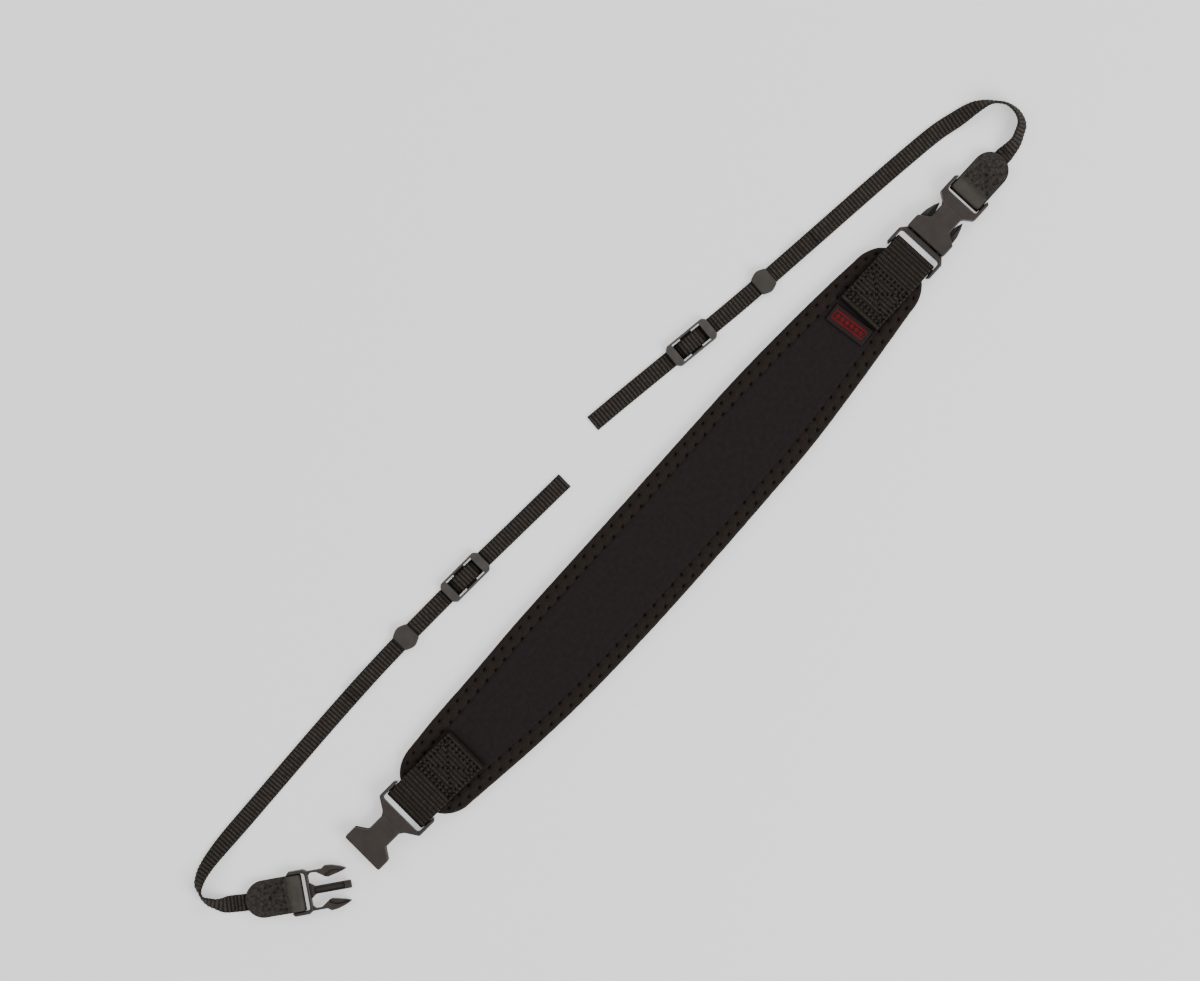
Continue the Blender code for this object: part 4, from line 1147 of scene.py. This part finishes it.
def web_height(connector, rows, at, on_top):
    """How high the web's middle lies: on the floor, or on what it passes over."""
    roll = radians(between(rows, at)[2])
    height = NARROW_WEB_WIDTH / 2 * abs(sin(roll)) + NARROW_WEB_THICKNESS / 2 * cos(roll)
    floor = NARROW_WEB_THICKNESS / 2
    fittings = (
        # middle, half of what the web passes over, where it is down again, height over it
        (connector.slide_at, SLIDE_MIDDLE_BAR / 2, SLIDE_LENGTH / 2 - SLIDE_END_BAR - GAP, SLIDE_Z),
        (connector.keeper_at, KEEPER_LENGTH / 2, 1.6 * KEEPER_LENGTH, KEEPER_Z),
    )
    for middle, half, landing, over in fittings:
        height += (over - floor) * (1 - smooth_step(abs(at - middle), half + GAP, landing))
    if on_top:
        overlap = connector.tack_at - TACK_OVERLAP
        height += (TACK_Z - floor) * smooth_step(at, overlap - KEEPER_LENGTH, overlap - GAP)
    leather = rows[-1][0] - LEATHER_HOLD
    return max(height, SANDWICH_Z * smooth_step(at, leather - KEEPER_LENGTH, leather))


def make_narrow_web(connector, part, rows, start, end, looks, material):
    """The lug web or the link web; the lug web lies on top where the two are tacked."""
    places = np.linspace(start, end, int((end - start) / (looks.narrow_rib / 6)) + 1)
    centres, across = [], []
    for at in places:
        x, y, roll = between(rows, at)
        inner = UP.cross(heading(rows, at)) * -connector.lean
        tilt = radians(roll)
        centres.append((x, y, web_height(connector, rows, at, part == "lug")))
        across.append(inner * cos(tilt) + UP * sin(tilt))
    wave = np.abs(np.sin(pi * places / looks.narrow_rib))
    half_width = NARROW_WEB_WIDTH / 2 - 0.16 * MM * (1 - wave)
    piece = band(
        f"{connector.name}_{part}_strap", places, centres, across, half_width,
        NARROW_WEB_THICKNESS, ribs(looks.narrow_rib, 0.34 * MM), material, "narrow_web",
        columns=13,
    )
    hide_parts(f"{connector.name}_{part}_web")


def make_tacks(connector, rows, thread):
    """Bar tacks: close zigzag stitches across the two webs where they are joined."""
    stitches = []
    for from_end in TACK_ROWS:
        spots = []
        for j in range(TACK_STEPS + 1):
            at = connector.tack_at - from_end + (TACK_SWING if j % 2 else -TACK_SWING)
            x, y, _ = between(rows, at)
            off = (j / TACK_STEPS - 0.5) * (NARROW_WEB_WIDTH - 1.6 * MM)
            height = web_height(connector, rows, at, True) + NARROW_WEB_THICKNESS / 2
            spots.append(Vector((x, y, height)) + UP.cross(heading(rows, at)) * off)
        stitches += zip(spots, spots[1:])
    thread_piece(
        f"{connector.name}_bar_tack", stitches, 0.22 * MM, thread, lift=0.8
    )


class STRAP_OT_narrow_webs(bpy.types.Operator):
    """Makes the narrow webbing of both connector straps and their bar tacks"""

    bl_idname = "strap.narrow_webs"
    bl_label = "Narrow Webbing"

    def execute(self, context):
        looks = context.scene.strap_web
        # Deeper painted shade where the web dips under the slide's bars and beside the keepers
        web = woven(
            "polyester_web_narrow", looks.narrow, looks.groove, looks.narrow_rib, 1.0 * MM,
            beads=0.25, bridges=0.3, crease=4.0, depth=1.7,
        )
        thread = sewing_thread("nylon_thread_tacks", context.scene.strap_pad.sewing)
        for connector, place in ((UPPER, UPPER_BAR), (LOWER, LOWER_BAR)):
            rows = connector_path(connector, place)
            tack, end = connector.tack_at, rows[-1][0]
            make_narrow_web(connector, "lug", rows, 0, tack, looks, web)
            make_narrow_web(connector, "link", rows, tack - TACK_OVERLAP, end, looks, web)
            make_tacks(connector, rows, thread)
        return {"FINISHED"}


# Label

# How far the label's folded edge stands above its middle
LABEL_FOLD = 0.22 * MM
# The motif in millimetres: half lengths and corner radius of its frame, and one lozenge
FRAME_OUTER = (3.0, 10.9, 1.3)
FRAME_INNER = (1.95, 9.85, 0.6)
LOZENGE = ((1.75, 0), (0, 1.5), (-1.75, 0), (0, -1.5))
LOZENGE_PLACES = (-7.75, -4.65, -1.55, 1.55, 4.65, 7.75)


def outline_ring(half_x, half_y, radius, steps=6):
    """Points of a rounded rectangle."""
    points = []
    for quarter, (sx, sy) in enumerate(((1, 1), (-1, 1), (-1, -1), (1, -1))):
        for i in range(steps + 1):
            angle = pi / 2 * (quarter + i / steps)
            points.append((sx * (half_x - radius) + radius * cos(angle),
                           sy * (half_y - radius) + radius * sin(angle)))
    return points


def make_label(material):
    """The woven ground, with a narrow fold round its edge."""
    low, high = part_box("label")
    place = (
        Matrix.Translation(((low.x + high.x) / 2, (low.y + high.y) / 2, low.z))
        @ Matrix.Rotation(LABEL_TURN, 4, "Z")
    )
    columns, rows = 25, 57
    points = []
    for x in np.linspace(-1, 1, columns) * LABEL_WIDTH / 2:
        for y in np.linspace(-1, 1, rows) * LABEL_LENGTH / 2:
            edge = min(LABEL_WIDTH / 2 - abs(x), LABEL_LENGTH / 2 - abs(y))
            fold = LABEL_FOLD * smooth_step(edge, 1.4 * MM, 2.2 * MM)
            soft = 0.12 * MM * noise.noise(Vector((x * 260, y * 260, 0)))
            round_off = 0.35 * MM * (1 - smooth_step(edge, -0.1 * MM, 0.5 * MM))
            points.append((x, y, LABEL_THICKNESS - fold - round_off + soft))
    points += [(x, y, 0) for x, y, _ in points]
    uvs = [(x, y) for x, y, _ in points]
    piece = add_piece(
        "woven_label", points, slab_faces(columns, rows), material, place, uvs
    )
    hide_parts("label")
    return place


def make_motif(place, material):
    """A plain frame and a row of lozenges in raised yarn."""
    top = LABEL_THICKNESS - LABEL_FOLD
    outer, inner = outline_ring(*FRAME_OUTER), outline_ring(*FRAME_INNER)
    rings = [(outer, -0.1), (outer, 0.1), (inner, 0.1), (inner, -0.1)]
    faces = tube_faces(4, len(outer), closed=True)
    for k, y in enumerate(LOZENGE_PLACES):
        shape = [(a, y + b) for a, b in LOZENGE]
        rings += [(shape, -0.1), (shape, 0.12)]
        faces += tube_faces(2, len(shape), first=4 * len(outer) + 2 * k * len(shape))
    points = [(x * MM, y * MM, top + rise * MM) for ring, rise in rings for x, y in ring]
    uvs = [(x, y) for x, y, _ in points]
    add_piece("label_motif", points, faces, material, place, uvs, smooth=False)


class STRAP_OT_label(bpy.types.Operator):
    """Makes the woven label beside the upper tab"""

    bl_idname = "strap.label"
    bl_label = "Label"

    def execute(self, context):
        looks = context.scene.strap_trim
        # The label's yarns are about 0.3 mm wide, and both are drawn wider so that they show
        # Their grooves take painted shade
        ground = woven(
            "polyester_label_woven", looks.label_ground, shade(looks.label_ground, 0.5),
            0.5 * MM, 0.4 * MM, crease=1.0,
        )
        yarn = woven(
            "polyester_yarn_red", looks.label_yarn, shade(looks.label_yarn, 0.35), 0.9 * MM,
            0.8 * MM, beads=0.75, crease=1.0,
        )
        make_motif(make_label(ground), yarn)
        return {"FINISHED"}


# Fittings


class STRAP_OT_fittings(bpy.types.Operator):
    """Gives the buckles, slides and keepers their moulded finishes"""

    bl_idname = "strap.fittings"
    bl_label = "Buckles, Slides and Keepers"

    def execute(self, context):
        looks = context.scene.strap_trim
        finishes = {
            "buckle": moulded("acetal_moulded", looks.acetal, 0.5),
            "slide": moulded("nylon_moulded", looks.nylon, 0.45),
            "keeper": moulded("rubber_moulded", looks.rubber, 0.62, 1.6),
        }
        for name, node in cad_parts.items():
            for ending, material in finishes.items():
                if name.endswith(ending):
                    node.data.materials.clear()
                    node.data.materials.append(material)
        return {"FINISHED"}


# Stage

FLOOR_CORNERS = ((-4, -4, 0), (4, -4, 0), (4, 4, 0), (-4, 4, 0))
LIGHTS = (
    # name, place, size, watts
    ("key_light", (0.15, -1.5, 1.3), 1.2, 26),
    ("side_light", (1.6, 0.3, 1.2), 1.0, 9),
    ("fill_light", (-0.8, 1.5, 1.5), 1.4, 9),
)
# From the middle of the strap's axis to the middle of the view
VIEW_MIDDLE = (-6.7 * MM, 38.4 * MM)
VIEW_TURN = radians(-47.5)


class STRAP_OT_stage(bpy.types.Operator):
    """Makes the pale floor, the soft lights and the camera over the strap"""

    bl_idname = "strap.stage"
    bl_label = "Floor, Lights and Camera"

    def execute(self, context):
        looks = context.scene.strap_stage
        # Uncoated white paper, lit from behind so that shadows on it stay faint
        paper, tree = new_material("floor_paper_white")
        white = (*looks.floor, 1)
        shader = add_node(tree, "BsdfPrincipled", {
            "Base Color": white, "Roughness": 0.9, "Specular IOR Level": 0.1,
            "Emission Color": white, "Emission Strength": 0.6,
        })
        add_node(tree, "OutputMaterial", {"Surface": shader})
        mesh = bpy.data.meshes.new("floor")
        mesh.from_pydata(FLOOR_CORNERS, [], [(0, 1, 2, 3)])
        mesh.materials.append(paper)
        linked("floor", mesh)

        world = bpy.data.worlds.new("studio")
        world.use_nodes = True
        background = world.node_tree.nodes["Background"]
        background.inputs["Color"].default_value = (1, 1, 1, 1)
        background.inputs["Strength"].default_value = 0.45
        context.scene.world = world

        for name, spot, across, watts in LIGHTS:
            data = bpy.data.lights.new(name, "AREA")
            data.size = across
            data.energy = watts
            light = linked(name, data)
            light.location = spot
            light.rotation_euler = (-Vector(spot)).to_track_quat("-Z", "Y").to_euler()

        lens = bpy.data.cameras.new("camera")
        lens.sensor_fit = "HORIZONTAL"
        lens.sensor_width = 36
        lens.lens = 100
        camera = linked("camera", lens)
        distance = looks.view_width * lens.lens / lens.sensor_width
        camera.location = ORIGIN + Vector((*VIEW_MIDDLE, distance))
        camera.rotation_euler = (0, 0, VIEW_TURN)
        context.scene.camera = camera
        return {"FINISHED"}


class STRAP_PT_panel(bpy.types.Panel):
    """Lists the strap's pieces"""

    bl_label = "Camera Neck Strap"
    bl_idname = "STRAP_PT_panel"
    bl_space_type = "VIEW_3D"
    bl_region_type = "UI"
    bl_category = "Strap"

    def draw(self, context):
        for group in LOOKS:
            box = self.layout.box()
            looks = getattr(context.scene, group)
            for prop in LOOKS[group].__annotations__:
                box.prop(looks, prop)
        for operator in OPERATORS:
            self.layout.operator(operator.bl_idname)


LOOKS = {
    "strap_pad": PadLooks,
    "strap_web": WebLooks,
    "strap_trim": TrimLooks,
    "strap_stage": StageLooks,
}
OPERATORS = (
    STRAP_OT_stage, STRAP_OT_pad, STRAP_OT_wide_tabs, STRAP_OT_leather_tabs,
    STRAP_OT_narrow_webs, STRAP_OT_label, STRAP_OT_fittings,
)


def register():
    for looks in LOOKS.values():
        bpy.utils.register_class(looks)
    for name, looks in LOOKS.items():
        setattr(bpy.types.Scene, name, PointerProperty(type=looks))
    for operator in OPERATORS:
        bpy.utils.register_class(operator)
    bpy.utils.register_class(STRAP_PT_panel)


def unregister():
    bpy.utils.unregister_class(STRAP_PT_panel)
    for operator in reversed(OPERATORS):
        bpy.utils.unregister_class(operator)
    for name in LOOKS:
        delattr(bpy.types.Scene, name)
    for looks in LOOKS.values():
        bpy.utils.unregister_class(looks)


def main():
    register()
    bpy.ops.strap.stage()
    bpy.ops.strap.pad()
    bpy.ops.strap.wide_tabs()
    bpy.ops.strap.leather_tabs()
    bpy.ops.strap.narrow_webs()
    bpy.ops.strap.label()
    bpy.ops.strap.fittings()


if __name__ == "__main__":
    main()
